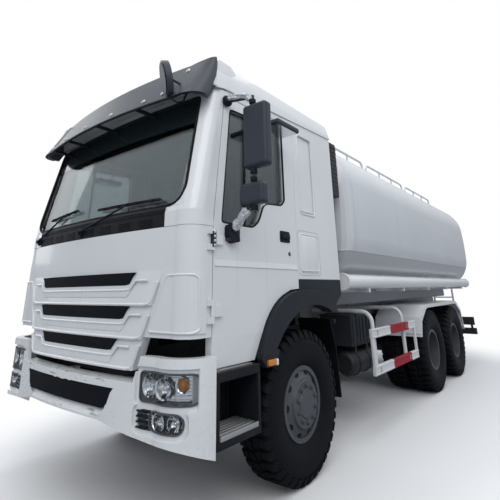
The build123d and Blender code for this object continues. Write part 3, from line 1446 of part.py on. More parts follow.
# Doors with their glass and mirrors
WINDOW = [
    (fa(1078), 1925),
    (fa(720), 1925),
    (fa(640), 1975),
    (fa(560), 2140),
    (fa(310), 2160),
    (fa(255), 2210),
    (fa(262), 2880),
    (fa(990), 2845),
]
window_cut = slab_xz(WINDOW, door_in - 5, CAB_HALF_W + 5)
pane_mid = CAB_HALF_W - WALL / 2
fold = slab_yz([
    (CAB_HALF_W, FOLD_Z),
    (CAB_HALF_W + 5, FOLD_Z),
    (CAB_HALF_W + 5, DOOR_LOW - 5),
    (CAB_HALF_W - FOLD_LEAN, DOOR_LOW - 5),
], 0, ahead)
door = door_slab(0, door_in, CAB_HALF_W) - window_cut - fold
for z in HINGES:
    door += rod((fa(HINGE_X), hinge_y, z - HINGE_H), (fa(HINGE_X), hinge_y, z + HINGE_H), HINGE_R)
    door += block(fa(HINGE_X - 90), fa(HINGE_X), CAB_HALF_W - 5, hinge_y + 6, z - HINGE_H, z + HINGE_H)
    notch = (z - HINGE_H - 1, z + HINGE_H + 1)
    door -= block(fa(DOOR_FRONT), fa(HINGE_X), CAB_HALF_W - 6, CAB_HALF_W + 1, *notch)
    bore = [(fa(HINGE_X), hinge_y, z + end) for end in (-HINGE_H - 5, HINGE_H + 5)]
    door -= rod(*bore, HINGE_PIN_R + SEAT_GAP)
pane_left = slab_xz(WINDOW, pane_mid - GLASS_T / 2, pane_mid + GLASS_T / 2)
MIRROR_HEADS = (
    # rear, front, inner side, outer side, low, top, edge radius
    (945, 1035, 1360, 1580, 2300, 2800, 28),
    (955, 1040, 1330, 1540, 2030, 2185, 26),
)
MIRROR_ARM_Y = 1440
MIRROR_ARM_X = 1000
MIRROR_ARM_R = 14
arms = block(fa(1015), fa(1075), CAB_HALF_W, CAB_HALF_W + 18, 2860, 2915)
arms += block(fa(930), fa(1040), CAB_HALF_W, CAB_HALF_W + 45, 1795, 1895)
arms += rod((fa(1045), CAB_HALF_W + 6, 2888), (fa(MIRROR_ARM_X), MIRROR_ARM_Y, 2868), MIRROR_ARM_R)
arms += rod((fa(MIRROR_ARM_X), MIRROR_ARM_Y, 2880), (fa(MIRROR_ARM_X), MIRROR_ARM_Y, 2060), MIRROR_ARM_R)
arms += rod((fa(MIRROR_ARM_X), MIRROR_ARM_Y, 2068), (fa(985), CAB_HALF_W + 10, 1850), MIRROR_ARM_R)
for rear, front, inner, outer, low, top, round_r in MIRROR_HEADS:
    arms += fillet(block(fa(rear), fa(front), inner, outer, low, top).edges(), round_r)
kerb = fillet(block(fa(330), fa(660), 1262, 1440, 2772, 2820).edges(), 16)
kerb += rod((fa(480), 1350, 2796), (fa(480), CAB_HALF_W, 2905), 11)
kerb -= block(fa(400), fa(560), CAB_HALF_W - 60, CAB_HALF_W, 2850, 2960)
save("door_left", door)
save("door_glass_left", pane_left)
save("mirrors_left", [arms, kerb])
save("door_right", mirror(door, about=Plane.XZ))
save("door_glass_right", mirror(pane_left, about=Plane.XZ))
save("mirrors_right", [mirror(item, about=Plane.XZ) for item in (arms, kerb)])
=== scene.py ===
"""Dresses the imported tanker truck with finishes, trim, a plain studio and the photograph's camera."""

import logging
import math
from abc import ABC, abstractmethod
from dataclasses import dataclass
from enum import Enum
from typing import Dict, List, Sequence, Tuple, Union

import bmesh
import bpy
from mathutils import Matrix, Vector

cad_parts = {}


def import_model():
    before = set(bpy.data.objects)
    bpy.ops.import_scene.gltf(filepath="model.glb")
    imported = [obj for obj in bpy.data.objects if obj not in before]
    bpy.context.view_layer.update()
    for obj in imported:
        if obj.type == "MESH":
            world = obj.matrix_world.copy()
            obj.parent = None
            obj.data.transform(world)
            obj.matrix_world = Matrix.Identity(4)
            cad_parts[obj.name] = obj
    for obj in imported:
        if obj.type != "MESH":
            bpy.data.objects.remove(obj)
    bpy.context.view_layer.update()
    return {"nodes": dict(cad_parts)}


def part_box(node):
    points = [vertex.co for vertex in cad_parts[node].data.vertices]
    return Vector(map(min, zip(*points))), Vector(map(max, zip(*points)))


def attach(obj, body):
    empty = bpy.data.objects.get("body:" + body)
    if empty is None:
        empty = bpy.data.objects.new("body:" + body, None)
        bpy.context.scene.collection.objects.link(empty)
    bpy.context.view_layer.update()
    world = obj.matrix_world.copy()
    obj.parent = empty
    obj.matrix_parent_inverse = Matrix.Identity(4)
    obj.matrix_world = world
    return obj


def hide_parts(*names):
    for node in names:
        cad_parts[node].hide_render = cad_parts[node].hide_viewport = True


LOG = logging.getLogger("tanker")
# Places in metres: the front axle, the axles' height, the wheels' middles across, the rear axles.
FRONT_AXLE = 2.860
AXLE_Z = 0.5625
FRONT_TRACK = 1.011
REAR_TRACK = 0.9145
REAR_AXLES = (("mid", -0.765), ("rear", -2.115))
# Shares of a front corner's width at its arc's middle and end, as the CAD draws it.
CORNER_VIA = 0.22
CORNER_END = 0.75
# Washer, hexagon and bolt end as shares of the nut's radius and height, with the count of sides.
NUT_PROFILES = (
    (((1.45, 0.0), (1.45, 0.2), (1.3, 0.25)), 18),
    (((1.0, 0.2), (1.0, 0.9), (0.86, 1.0)), 6),
    (((0.5, 1.0), (0.5, 1.3), (0.4, 1.36)), 12),
)
Flat = Tuple[float, float]
Line = Tuple[Flat, ...]
Colour = Tuple[float, float, float]
Point = Tuple[float, float, float]
Value = Union["Sock", float, Tuple[float, ...]]
Sockets = Dict[Union[str, int], Value]


class Axis(Enum):
    """A direction of the shared frame."""

    X = (1.0, 0.0, 0.0)
    Y = (0.0, 1.0, 0.0)
    Z = (0.0, 0.0, 1.0)


class Side(Enum):
    """Left or right of the truck, as the sign of Y."""

    LEFT = 1
    RIGHT = -1

    def label(self) -> str:
        """The side's name as the CAD nodes spell it."""
        return self.name.lower()


class Sock:
    """A shader socket that takes part in Python arithmetic."""

    def __init__(self, graph: "Graph", socket: bpy.types.NodeSocket) -> None:
        """Keep the socket with the graph that it belongs to."""
        self.graph = graph
        self.socket = socket

    def __add__(self, other: Value) -> "Sock":
        """Sum."""
        return self.graph.math("ADD", self, other)

    __radd__ = __add__

    def __sub__(self, other: Value) -> "Sock":
        """Difference."""
        return self.graph.math("SUBTRACT", self, other)

    def __rsub__(self, other: Value) -> "Sock":
        """Difference, number first."""
        return self.graph.math("SUBTRACT", other, self)

    def __mul__(self, other: Value) -> "Sock":
        """Product."""
        return self.graph.math("MULTIPLY", self, other)

    __rmul__ = __mul__

    def __truediv__(self, other: Value) -> "Sock":
        """Quotient."""
        return self.graph.math("DIVIDE", self, other)

    def __pow__(self, other: Value) -> "Sock":
        """Power."""
        return self.graph.math("POWER", self, other)

    def __abs__(self) -> "Sock":
        """Size without sign."""
        return self.graph.math("ABSOLUTE", self)

    def rise(self, low: float, high: float) -> "Sock":
        """Smooth step between two values; it falls where low is the larger.

        Args:
            low: Where the step is 0.
            high: Where the step is 1.

        Returns:
            The step.
        """
        sockets = {0: self, 1: min(low, high), 2: max(low, high), 3: float(low > high), 4: float(low <= high)}
        node = self.graph.node("ShaderNodeMapRange", {"interpolation_type": "SMOOTHSTEP"}, sockets)
        return Sock(self.graph, node.outputs[0])

    def wave(self) -> "Sock":
        """Sine."""
        return self.graph.math("SINE", self)


class Graph:
    """The node tree of one material or world, built from Python expressions."""

    def __init__(self, tree: bpy.types.NodeTree) -> None:
        """Start from an empty tree."""
        self.tree = tree
        self.tree.nodes.clear()

    def node(self, kind: str, settings: Dict[str, object], sockets: Sockets) -> bpy.types.Node:
        """Add one node.

        Args:
            kind: Blender's name of the node type.
            settings: Properties set on the node before its sockets.
            sockets: Numbers or linked sockets for its inputs.

        Returns:
            The new node.
        """
        node = self.tree.nodes.new(kind)
        for key, value in settings.items():
            setattr(node, key, value)
        for key, value in sockets.items():
            if isinstance(value, Sock):
                self.tree.links.new(value.socket, node.inputs[key])
            else:
                node.inputs[key].default_value = value
        return node

    def math(self, operation: str, *values: Value) -> Sock:
        """One Math node over the values in order."""
        sockets = dict(enumerate(values))
        return Sock(self, self.node("ShaderNodeMath", {"operation": operation}, sockets).outputs[0])

    def mix(self, share: Value, first: Value, second: Value) -> Sock:
        """Blend of two colours.

        Args:
            share: 0 for the first colour, 1 for the second.
            first: Colour with three parts, or a socket.
            second: Colour with three parts, or a socket.

        Returns:
            The blended colour.
        """
        sockets: Sockets = {0: share}
        for key, value in ((6, first), (7, second)):
            sockets[key] = value if isinstance(value, Sock) else (*value, 1.0)
        return Sock(self, self.node("ShaderNodeMix", {"data_type": "RGBA"}, sockets).outputs[2])

    def place(self) -> Sock:
        """Place on the object, in metres."""
        return Sock(self, self.node("ShaderNodeTexCoord", {}, {}).outputs["Object"])

    def stretched(self, place: Sock, scale: Point) -> Sock:
        """Place multiplied axis by axis."""
        sockets = {0: place, 1: scale}
        return Sock(self, self.node("ShaderNodeVectorMath", {"operation": "MULTIPLY"}, sockets).outputs[0])

    def split(self, place: Sock) -> Tuple[Sock, Sock, Sock]:
        """The three parts of a vector."""
        outputs = self.node("ShaderNodeSeparateXYZ", {}, {0: place}).outputs
        return Sock(self, outputs[0]), Sock(self, outputs[1]), Sock(self, outputs[2])

    def noise(self, place: Sock, scale: float, detail: float) -> Sock:
        """Cloudy pattern from 0 to 1."""
        sockets = {"Vector": place, "Scale": scale, "Detail": detail}
        return Sock(self, self.node("ShaderNodeTexNoise", {}, sockets).outputs[0])

    def cells(self, place: Sock, scale: float) -> Sock:
        """Distance inside rounded cells."""
        return Sock(self, self.node("ShaderNodeTexVoronoi", {}, {"Vector": place, "Scale": scale}).outputs[0])

    def bump(self, height: Sock, depth: float, strength: float = 1.0) -> Sock:
        """Normal bent by a height in metres times depth."""
        sockets = {"Height": height, "Distance": depth, "Strength": strength}
        return Sock(self, self.node("ShaderNodeBump", {}, sockets).outputs[0])

    def edge_wear(self, reach: float) -> Sock:
        """How far the bevelled normal leaves the true one, which marks edges.

        Args:
            reach: Width of the marked edge in metres.

        Returns:
            0 on flat ground, 1 at an edge.
        """
        soft = Sock(self, self.node("ShaderNodeBevel", {"samples": 4}, {"Radius": reach}).outputs[0])
        true = Sock(self, self.node("ShaderNodeNewGeometry", {}, {}).outputs["Normal"])
        node = self.node("ShaderNodeVectorMath", {"operation": "DOT_PRODUCT"}, {0: soft, 1: true})
        return (1.0 - Sock(self, node.outputs["Value"])).rise(0.02, 0.25)

    def surface(self, sockets: Sockets) -> Sock:
        """A Principled shader."""
        full = {k: (*v, 1.0) if isinstance(v, tuple) and len(v) == 3 else v for k, v in sockets.items()}
        return Sock(self, self.node("ShaderNodeBsdfPrincipled", {}, full).outputs[0])

    def blend(self, share: Value, first: Sock, second: Sock) -> Sock:
        """Mix of two shaders."""
        return Sock(self, self.node("ShaderNodeMixShader", {}, {0: share, 1: first, 2: second}).outputs[0])

    def seen(self) -> Sock:
        """1 for rays from the camera, also through clear panes, and 0 for others."""
        path = self.node("ShaderNodeLightPath", {}, {}).outputs
        return (Sock(self, path["Is Camera Ray"]) + Sock(self, path["Is Transmission Ray"])).rise(0.0, 1.0)

    def output(self, shader: Sock) -> None:
        """Join the shader to the material's output."""
        self.node("ShaderNodeOutputMaterial", {}, {"Surface": shader})


@dataclass(frozen=True)
class Finish(ABC):
    """A surface finish; each kind draws its own nodes."""

    name: str
    slot: str

    def material(self) -> bpy.types.Material:
        """The finish's material, made when it is first asked for.

        Returns:
            The material.
        """
        found = bpy.data.materials.get(self.name)
        if found is None:
            found = bpy.data.materials.new(self.name)
            found.use_nodes = True
            graph = Graph(found.node_tree)
            graph.output(self.draw(graph))
        return found

    @abstractmethod
    def draw(self, graph: Graph) -> Sock:
        """Draw the nodes and return the shader."""


@dataclass(frozen=True)
class Paint(Finish):
    """Gloss paint with road dust low down and faint streaks."""

    colour: Colour = (0.74, 0.755, 0.77)
    dust: Colour = (0.27, 0.26, 0.24)
    dust_top: float = 1.5
    dust_share: float = 0.35
    gloss: float = 0.2
    coat: float = 0.5
    ripple: float = 0.0015
    shine: float = 0.5

    def tint(self, graph: Graph, place: Sock) -> Value:
        """The clean colour over the surface."""
        broad = graph.noise(place, 0.9, 3.0)
        return graph.mix(broad.rise(0.3, 0.75), self.colour, tuple(c * 0.93 for c in self.colour))

    def draw(self, graph: Graph) -> Sock:
        """Mix dust into the paint by height, streaks and noise.

        Args:
            graph: The material's tree.

        Returns:
            The shader.
        """
        place = graph.place()
        height = graph.split(place)[2]
        broad = graph.noise(place, 2.3, 4.0)
        fine = graph.noise(place, 45.0, 5.0)
        streak = graph.noise(graph.stretched(place, (11.0, 11.0, 0.7)), 1.0, 4.0)
        low = height.rise(self.dust_top, 0.3)
        grime = (broad * 0.55 + fine * 0.45).rise(0.38, 0.72) * low * self.dust_share
        share = grime + streak.rise(0.58, 0.8) * 0.1
        colour = graph.mix(share, self.tint(graph, place), self.dust)
        normal = graph.bump(graph.noise(place, 1.4, 1.0) + fine * 0.012, self.ripple)
        return graph.surface({
            "Base Color": colour,
            "Roughness": self.gloss + share * 0.55 + fine * 0.05,
            "Coat Weight": self.coat - share * self.coat,
            "Coat Roughness": 0.06,
            "Specular IOR Level": self.shine,
            "Normal": normal,
        })


@dataclass(frozen=True)
class TankPaint(Paint):
    """Tank paint with weld beads standing a little proud, and painted shade in a band below the long seam."""

    seams: Tuple[float, ...] = (1.72, 0.24, -1.26, -2.76, -4.06)
    seam_height: float = 1.86
    # Colour of the painted shade in the band below the long seam.
    painted_seam_shade: Colour = (0.3, 0.315, 0.335)

    def draw(self, graph: Graph) -> Sock:
        """Add the welds' relief, streaks and painted shade in a band below the long seam.

        Args:
            graph: The material's tree.

        Returns:
            The shader.
        """
        place = graph.place()
        along, _, height = graph.split(place)
        weld = (abs(height - self.seam_height)).rise(0.011, 0.002)
        for at in self.seams:
            weld = weld + (abs(along - at)).rise(0.012, 0.002)
        ripples = graph.noise(graph.stretched(place, (1.0, 0.4, 160.0)), 1.0, 1.0)
        fine = graph.noise(place, 40.0, 5.0)
        streak = graph.noise(graph.stretched(place, (8.0, 8.0, 0.5)), 1.0, 5.0)
        grime = streak.rise(0.5, 0.78) * 0.05 + fine.rise(0.5, 0.8) * height.rise(2.0, 1.45) * 0.18
        # Painted shade: darker just below the long seam, fading out towards 1.5 m.
        below = height.rise(self.seam_height + 0.004, self.seam_height - 0.006) * height.rise(1.5, 1.8)
        clean = graph.mix(below * 0.75, self.tint(graph, place), self.painted_seam_shade)
        colour = graph.mix(grime + weld * 0.3, clean, self.dust)
        bead = weld * (0.7 + ripples * 0.3)
        normal = graph.bump(bead * 0.9 + graph.noise(place, 1.3, 1.0) * 0.2, 0.004)
        return graph.surface({
            "Base Color": colour,
            "Roughness": self.gloss + grime * 0.7 + fine * 0.05 + weld * 0.1,
            "Coat Weight": self.coat - grime * self.coat,
            "Coat Roughness": 0.05,
            "Normal": normal,
        })


@dataclass(frozen=True)
class ScuffedPaint(Paint):
    """Bumper paint with dark rubs and scratches along its middle bar and its lip."""

    marks: Colour = (0.03, 0.031, 0.034)
    half: float = 0.72
    bands: Line = ((0.665, 0.745), (0.885, 0.93))

    def tint(self, graph: Graph, place: Sock) -> Value:
        """Paint broken by rubs within the bands.

        Args:
            graph: The material's tree.
            place: Place on the object.

        Returns:
            The colour.
        """
        _, across, height = graph.split(place)
        rub = graph.noise(graph.stretched(place, (40.0, 9.0, 70.0)), 1.0, 6.0).rise(0.56, 0.68)
        patch = graph.noise(place, 3.0, 3.0).rise(0.42, 0.62)
        share = abs(across).rise(self.half, self.half - 0.2) * rub * patch
        inside = sum(height.rise(low - 0.01, low) * height.rise(top + 0.01, top) for low, top in self.bands)
        lines = graph.noise(graph.stretched(place, (5.0, 14.0, 240.0)), 1.0, 4.0).rise(0.68, 0.74)
        worn = graph.mix(lines * 0.25, self.colour, self.marks)
        return graph.mix(inside * share * 0.85, worn, self.marks)


@dataclass(frozen=True)
class GuardPaint(Paint):
    """White guard rails with a red band between two places along the truck."""

    red: Colour = (0.36, 0.014, 0.034)
    band: Flat = (0.36, 1.01)
    rails: Line = ((0.563, 0.659), (0.93, 1.026))

    def tint(self, graph: Graph, place: Sock) -> Value:
        """Red between the band's ends, with the prism grid of reflective tape.

        Args:
            graph: The material's tree.
            place: Place on the object.

        Returns:
            The colour.
        """
        along, across, height = graph.split(place)
        start, end = self.band
        inside = along.rise(start - 0.002, start) * along.rise(end + 0.002, end)
        outer = abs(across).rise(1.196, 1.2)
        rails = sum(height.rise(low - 0.001, low) * height.rise(top + 0.001, top) for low, top in self.rails)
        grid = ((along * 420.0).wave() * (height * 420.0).wave()) * 0.5 + 0.5
        red = graph.mix(grid, self.red, tuple(c * 0.72 for c in self.red))
        return graph.mix(inside * outer * rails, self.colour, red)


@dataclass(frozen=True)
class Moulded(Finish):
    """Grained black or grey plastic with dust in its grain and paler worn edges."""

    colour: Colour = (0.022, 0.024, 0.028)
    grain: float = 900.0
    grain_depth: float = 0.0004
    rough: float = 0.55
    dust_share: float = 0.25
    shine: float = 0.3

    def draw(self, graph: Graph) -> Sock:
        """Mix dust into the grain, and lift the edges.

        Args:
            graph: The material's tree.

        Returns:
            The shader.
        """
        place = graph.place()
        height = graph.split(place)[2]
        grain = graph.cells(place, self.grain)
        broad = graph.noise(place, 3.1, 4.0)
        fine = graph.noise(place, 60.0, 4.0)
        low = height.rise(2.2, 0.4)
        dust = (broad * 0.6 + fine * 0.4).rise(0.42, 0.75) * (low * 0.8 + 0.2) * self.dust_share
        worn = graph.edge_wear(0.004) * 0.25
        pale = tuple(min(1.0, c * 2.2 + 0.02) for c in self.colour)
        colour = graph.mix(dust, graph.mix(worn, self.colour, pale), (0.16, 0.15, 0.135))
        return graph.surface({
            "Base Color": colour,
            "Roughness": self.rough + dust * 0.4 + fine * 0.1 - 0.05,
            "Specular IOR Level": self.shine,
            "Normal": graph.bump(grain, self.grain_depth, 0.6),
        })


@dataclass(frozen=True)
class Rubber(Finish):
    """Tyre or seal rubber, greyed by dust in patches."""

    colour: Colour = (0.011, 0.0115, 0.0125)
    dust: Colour = (0.085, 0.078, 0.068)
    dust_share: float = 0.4

    def draw(self, graph: Graph) -> Sock:
        """Mix dust over broad patches and fine specks.

        Args:
            graph: The material's tree.

        Returns:
            The shader.
        """
        place = graph.place()
        broad = graph.noise(place, 4.5, 5.0)
        fine = graph.noise(place, 120.0, 5.0)
        dust = (broad * 0.6 + fine * 0.4).rise(0.4, 0.75) * self.dust_share
        return graph.surface({
            "Base Color": graph.mix(dust, self.colour, self.dust),
            "Roughness": 0.72 + dust * 0.4 - fine * 0.12,
            "Specular IOR Level": 0.1,
            "Normal": graph.bump(fine, 0.0012, 0.5),
        })


@dataclass(frozen=True)
class TyreRubber(Rubber):
    """Tyre rubber with ribs round its side, drawn about the wheel's own middle."""

    ribs: Tuple[float, ...] = (0.302, 0.318, 0.452, 0.487)
    rib_half: float = 0.0035

    def draw(self, graph: Graph) -> Sock:
        """Add the ribs and a fine ring grain to the rubber, and dust near the tread.

        Args:
            graph: The material's tree.

        Returns:
            The shader.
        """
        place = graph.place()
        along, _, height = graph.split(place)
        radius = (along ** 2.0 + height ** 2.0) ** 0.5
        relief = (radius * 1500.0).wave() * 0.06
        for at in self.ribs:
            relief = relief + abs(radius - at).rise(self.rib_half, self.rib_half * 0.4)
        broad = graph.noise(place, 5.5, 5.0)
        fine = graph.noise(place, 130.0, 5.0)
        worn = radius.rise(0.5, 0.56) * 0.5 + 0.35
        dust = (broad * 0.55 + fine * 0.45).rise(0.38, 0.78) * worn * self.dust_share
        return graph.surface({
            "Base Color": graph.mix(dust, self.colour, self.dust),
            "Roughness": 0.66 + dust * 0.6 - fine * 0.1,
            "Specular IOR Level": 0.14,
            "Normal": graph.bump(relief + fine * 0.4, 0.0022),
        })


@dataclass(frozen=True)
class Mesh(Finish):
    """Black pressed mesh: slanting bars, with painted shade darkening the holes between them."""

    bar: Colour = (0.007, 0.009, 0.015)
    # Colour of the holes: painted shade for the dark space behind the mesh.
    hole: Colour = (0.0015, 0.0017, 0.002)
    pitch: float = 0.016

    def draw(self, graph: Graph) -> Sock:
        """Cross two slanting waves for the bars, and darken the holes between them as painted shade.

        Args:
            graph: The material's tree.

        Returns:
            The shader.
        """
        place = graph.place()
        along, across, height = graph.split(place)
        turn = 2 * math.pi / self.pitch
        wide = (along + across) * (turn * 0.5)
        tall = height * turn
        # This mask is 1 in the holes, which take the painted shade.
        bars = ((wide + tall).wave() * (wide - tall).wave()).rise(-0.05, 0.2)
        fine = graph.noise(place, 150.0, 3.0)
        return graph.surface({
            "Base Color": graph.mix(bars, self.bar, self.hole),
            "Roughness": 0.55 + fine * 0.2,
            "Specular IOR Level": 0.1,
            "Normal": graph.bump(1.0 - bars, 0.003),
        })


@dataclass(frozen=True)
class Film(Finish):
    """Crumpled white wrapping film left on the mirror arms."""

    colour: Colour = (0.72, 0.74, 0.76)

    def draw(self, graph: Graph) -> Sock:
        """Crease the film by sharp noise, and darken the creases as painted shade.

        Args:
            graph: The material's tree.

        Returns:
            The shader.
        """
        place = graph.place()
        crease = graph.cells(place, 45.0)
        fine = graph.noise(place, 90.0, 4.0)
        return graph.surface({
            # Painted shade: the colour darkens towards the cells' edges, where the creases lie.
            "Base Color": graph.mix(crease, self.colour, (0.4, 0.42, 0.45)),
            "Roughness": 0.25 + fine * 0.2,
            "Coat Weight": 0.4 + fine * 0.2,
            "Normal": graph.bump(crease + fine * 0.5, 0.012),
        })


@dataclass(frozen=True)
class Steel(Finish):
    """Painted or bare steel with dust, scuffs and worn edges."""

    colour: Colour = (0.03, 0.031, 0.034)
    bare: Colour = (0.2, 0.19, 0.18)
    metal: float = 0.0
    rough: float = 0.5
    dust_share: float = 0.3
    brushed: float = 0.0

    def draw(self, graph: Graph) -> Sock:
        """Mix dust and edge wear over the colour.

        Args:
            graph: The material's tree.

        Returns:
            The shader.
        """
        place = graph.place()
        broad = graph.noise(place, 5.0, 5.0)
        fine = graph.noise(place, 85.0, 5.0)
        lines = graph.noise(graph.stretched(place, (4.0, 260.0, 260.0)), 1.0, 3.0)
        dust = (broad * 0.55 + fine * 0.45).rise(0.42, 0.76) * self.dust_share
        worn = graph.edge_wear(0.003) * fine.rise(0.35, 0.65)
        colour = graph.mix(dust, graph.mix(worn * 0.6, self.colour, self.bare), (0.14, 0.125, 0.105))
        return graph.surface({
            "Base Color": colour,
            "Metallic": self.metal - dust * self.metal,
            "Roughness": self.rough + dust * 0.4 + (lines - 0.5) * self.brushed,
            "Normal": graph.bump(fine + lines * self.brushed * 4.0, 0.0006, 0.5),
        })


@dataclass(frozen=True)
class Glass(Finish):
    """Thin pane: tinted see-through with a clear reflection that grows at a slant, and a painted shadow above
    a set height.
    """

    tint: Colour = (0.5, 0.6, 0.6)
    film: float = 0.04
    # Height above which the pane darkens to a painted shadow of the visor; 0 leaves it clear.
    band: float = 0.0

    def draw(self, graph: Graph) -> Sock:
        """Mix a see-through and a mirror shader by the angle of view, with a painted shadow darkening the
        pane above the band's height.

        Args:
            graph: The material's tree.

        Returns:
            The shader.
        """
        place = graph.place()
        height = graph.split(place)[2]
        haze = graph.noise(place, 6.0, 4.0).rise(0.4, 0.8) * self.film
        clear = Sock(graph, graph.node("ShaderNodeBsdfTransparent", {}, {0: (*self.tint, 1.0)}).outputs[0])
        shine = Sock(graph, graph.node("ShaderNodeBsdfGlossy", {}, {"Roughness": 0.03}).outputs[0])
        dark_film_and_painted_shadow = graph.surface({"Base Color": (0.02, 0.03, 0.032), "Roughness": 0.2})
        slant = Sock(graph, graph.node("ShaderNodeFresnel", {}, {"IOR": 1.5}).outputs[0])
        # Painted shadow: above the band's height the pane turns to the dark surface, standing in for the
        # visor's shade; elsewhere that surface is a faint dirty film.
        dark = height.rise(self.band - 0.01, self.band + 0.02) if self.band else 0.0
        pane = graph.blend(dark * 0.85 if self.band else haze, clear, dark_film_and_painted_shadow)
        return graph.blend(slant * 0.9 + haze * 0.5, pane, shine)


@dataclass(frozen=True)
class LampGlass(Finish):
    """Clear cover in front; behind the truck's middle the same node is red plastic with amber ends."""

    red: Colour = (0.3, 0.008, 0.012)
    clear: Colour = (0.93, 0.95, 0.96)

    def draw(self, graph: Graph) -> Sock:
        """Choose the clear or the red lens by the place along the truck.

        Args:
            graph: The material's tree.

        Returns:
            The shader.
        """
        place = graph.place()
        along, across, height = graph.split(place)
        pane = Sock(graph, graph.node("ShaderNodeBsdfTransparent", {}, {0: (*self.clear, 1.0)}).outputs[0])
        shine = Sock(graph, graph.node("ShaderNodeBsdfGlossy", {}, {"Roughness": 0.04}).outputs[0])
        slant = Sock(graph, graph.node("ShaderNodeFresnel", {}, {"IOR": 1.45}).outputs[0])
        cover = graph.blend(slant, pane, shine)
        amber = abs(across).rise(1.06, 1.062)
        ribs = ((across * 520.0).wave() * (height * 520.0).wave()) * 0.5 + 0.5
        lens = graph.surface({
            "Base Color": graph.mix(amber, self.red, (0.5, 0.16, 0.01)),
            "Roughness": 0.12 + ribs * 0.1,
            "Coat Weight": 0.6 + ribs * 0.2,
            "Normal": graph.bump(ribs, 0.002),
        })
        return graph.blend(along.rise(0.0, 0.1), lens, cover)


@dataclass(frozen=True)
class Lens(Finish):
    """Coloured lamp plastic with small prisms."""

    colour: Colour = (0.75, 0.26, 0.02)

    def draw(self, graph: Graph) -> Sock:
        """Colour broken by a grid of prisms.

        Args:
            graph: The material's tree.

        Returns:
            The shader.
        """
        place = graph.place()
        _, across, height = graph.split(place)
        grid = ((across * 600.0).wave() * (height * 600.0).wave()) * 0.5 + 0.5
        return graph.surface({
            "Base Color": graph.mix(grid, self.colour, tuple(c * 0.6 for c in self.colour)),
            "Roughness": 0.1 + grid * 0.12,
            "Coat Weight": 0.5 + grid * 0.2,
            "Normal": graph.bump(grid, 0.001),
        })


@dataclass(frozen=True)
class Chrome(Finish):
    """Vapour-coated reflector, faintly fluted."""

    colour: Colour = (0.86, 0.87, 0.88)
    flutes: float = 190.0
    depth: float = 0.0015
    rough: float = 0.1

    def draw(self, graph: Graph) -> Sock:
        """Bright metal with upright flutes.

        Args:
            graph: The material's tree.

        Returns:
            The shader.
        """
        place = graph.place()
        across = graph.split(place)[1]
        flute = (across * self.flutes).wave() * 0.5 + 0.5
        fine = graph.noise(place, 70.0, 3.0)
        return graph.surface({
            "Base Color": graph.mix(fine * 0.3, self.colour, tuple(c * 0.6 for c in self.colour)),
            "Metallic": 1.0,
            "Roughness": self.rough + fine * 0.12,
            "Normal": graph.bump(flute, self.depth),
        })


@dataclass(frozen=True)
class Fabric(Finish):
    """Woven seat cloth with a soft nap."""

    colour: Colour = (0.05, 0.052, 0.058)
    accent: Colour = (0.11, 0.115, 0.125)
    pitch: float = 1500.0

    def draw(self, graph: Graph) -> Sock:
        """Crossed threads, paler where they rise.

        Args:
            graph: The material's tree.

        Returns:
            The shader.
        """
        place = graph.place()
        along, across, height = graph.split(place)
        warp = ((across * self.pitch).wave()) * 0.5 + 0.5
        weft = ((along * self.pitch + height * self.pitch).wave()) * 0.5 + 0.5
        nap = graph.noise(place, 240.0, 3.0)
        weave = warp * weft
        return graph.surface({
            "Base Color": graph.mix(weave * 0.6 + nap * 0.3, self.colour, self.accent),
            "Roughness": 0.85 + nap * 0.1,
            "Sheen Weight": 0.3,
            "Normal": graph.bump(weave + nap * 0.4, 0.0015),
        })


WHITE = Paint("gloss_white", "white_paint")
TANK = TankPaint("tank_white", "tank_paint", colour=(0.62, 0.645, 0.675), gloss=0.16, coat=0.6)
# Subframe paint darkened from white to grey: painted shade under the tank, with road dust over it.
SUBFRAME_PAINTED_SHADE = Paint(
    "subframe_painted_shade", "tank_paint", colour=(0.2, 0.208, 0.22), dust_top=1.7, dust_share=0.5, gloss=0.4, coat=0.1,
)
BUMPER = ScuffedPaint("bumper_white", "white_paint", dust_share=0.3)
GUARD = GuardPaint(
    "guard_white", "white_paint", colour=(0.66, 0.67, 0.68), gloss=0.5, coat=0.0, dust_share=0.15, shine=0.15,
)
VISOR = Moulded(
    "visor_grey", "grey_paint", colour=(0.048, 0.055, 0.068), rough=0.4, dust_share=0.06, shine=0.4,
)
BLACK = Moulded("moulded_black", "black_plastic", colour=(0.006, 0.0075, 0.0115), dust_share=0.1, shine=0.2)
FLARE = Moulded(
    "flare_black", "black_plastic", colour=(0.014, 0.0165, 0.023), rough=0.5, dust_share=0.06, shine=0.25,
)
MIRROR_SHELL = Moulded(
    "mirror_grey", "grey_plastic", colour=(0.032, 0.038, 0.054), rough=0.42, dust_share=0.06,
)
TRIM_GREY = Moulded("cab_trim_grey", "grey_plastic", colour=(0.075, 0.078, 0.082), rough=0.6, dust_share=0.08)
CHASSIS = Steel("chassis_black", "black_steel", colour=(0.009, 0.01, 0.014), rough=0.55, dust_share=0.2)
CAST = Steel("cast_black", "cast_black", colour=(0.022, 0.022, 0.024), rough=0.65, dust_share=0.4)
RIM = Steel(
    "wheel_grey", "wheel_silver", colour=(0.06, 0.066, 0.076), bare=(0.15, 0.15, 0.16), rough=0.42,
    dust_share=0.2,
)
ALLOY = Steel(
    "brushed_alloy", "tread_metal", colour=(0.55, 0.55, 0.55), metal=1.0, rough=0.36, brushed=0.3,
    dust_share=0.3,
)
TYRE = TyreRubber("tyre_rubber", "tyre", colour=(0.0045, 0.0052, 0.0078), dust_share=0.14)
MESH = Mesh("black_mesh", "black_plastic")
FILM = Film("arm_film", "white_paint")
SEAL = Rubber("seal_rubber", "rubber", colour=(0.012, 0.012, 0.013), dust_share=0.15)
FLAP = Rubber("flap_rubber", "rubber", colour=(0.004, 0.0045, 0.006), dust_share=0.06)
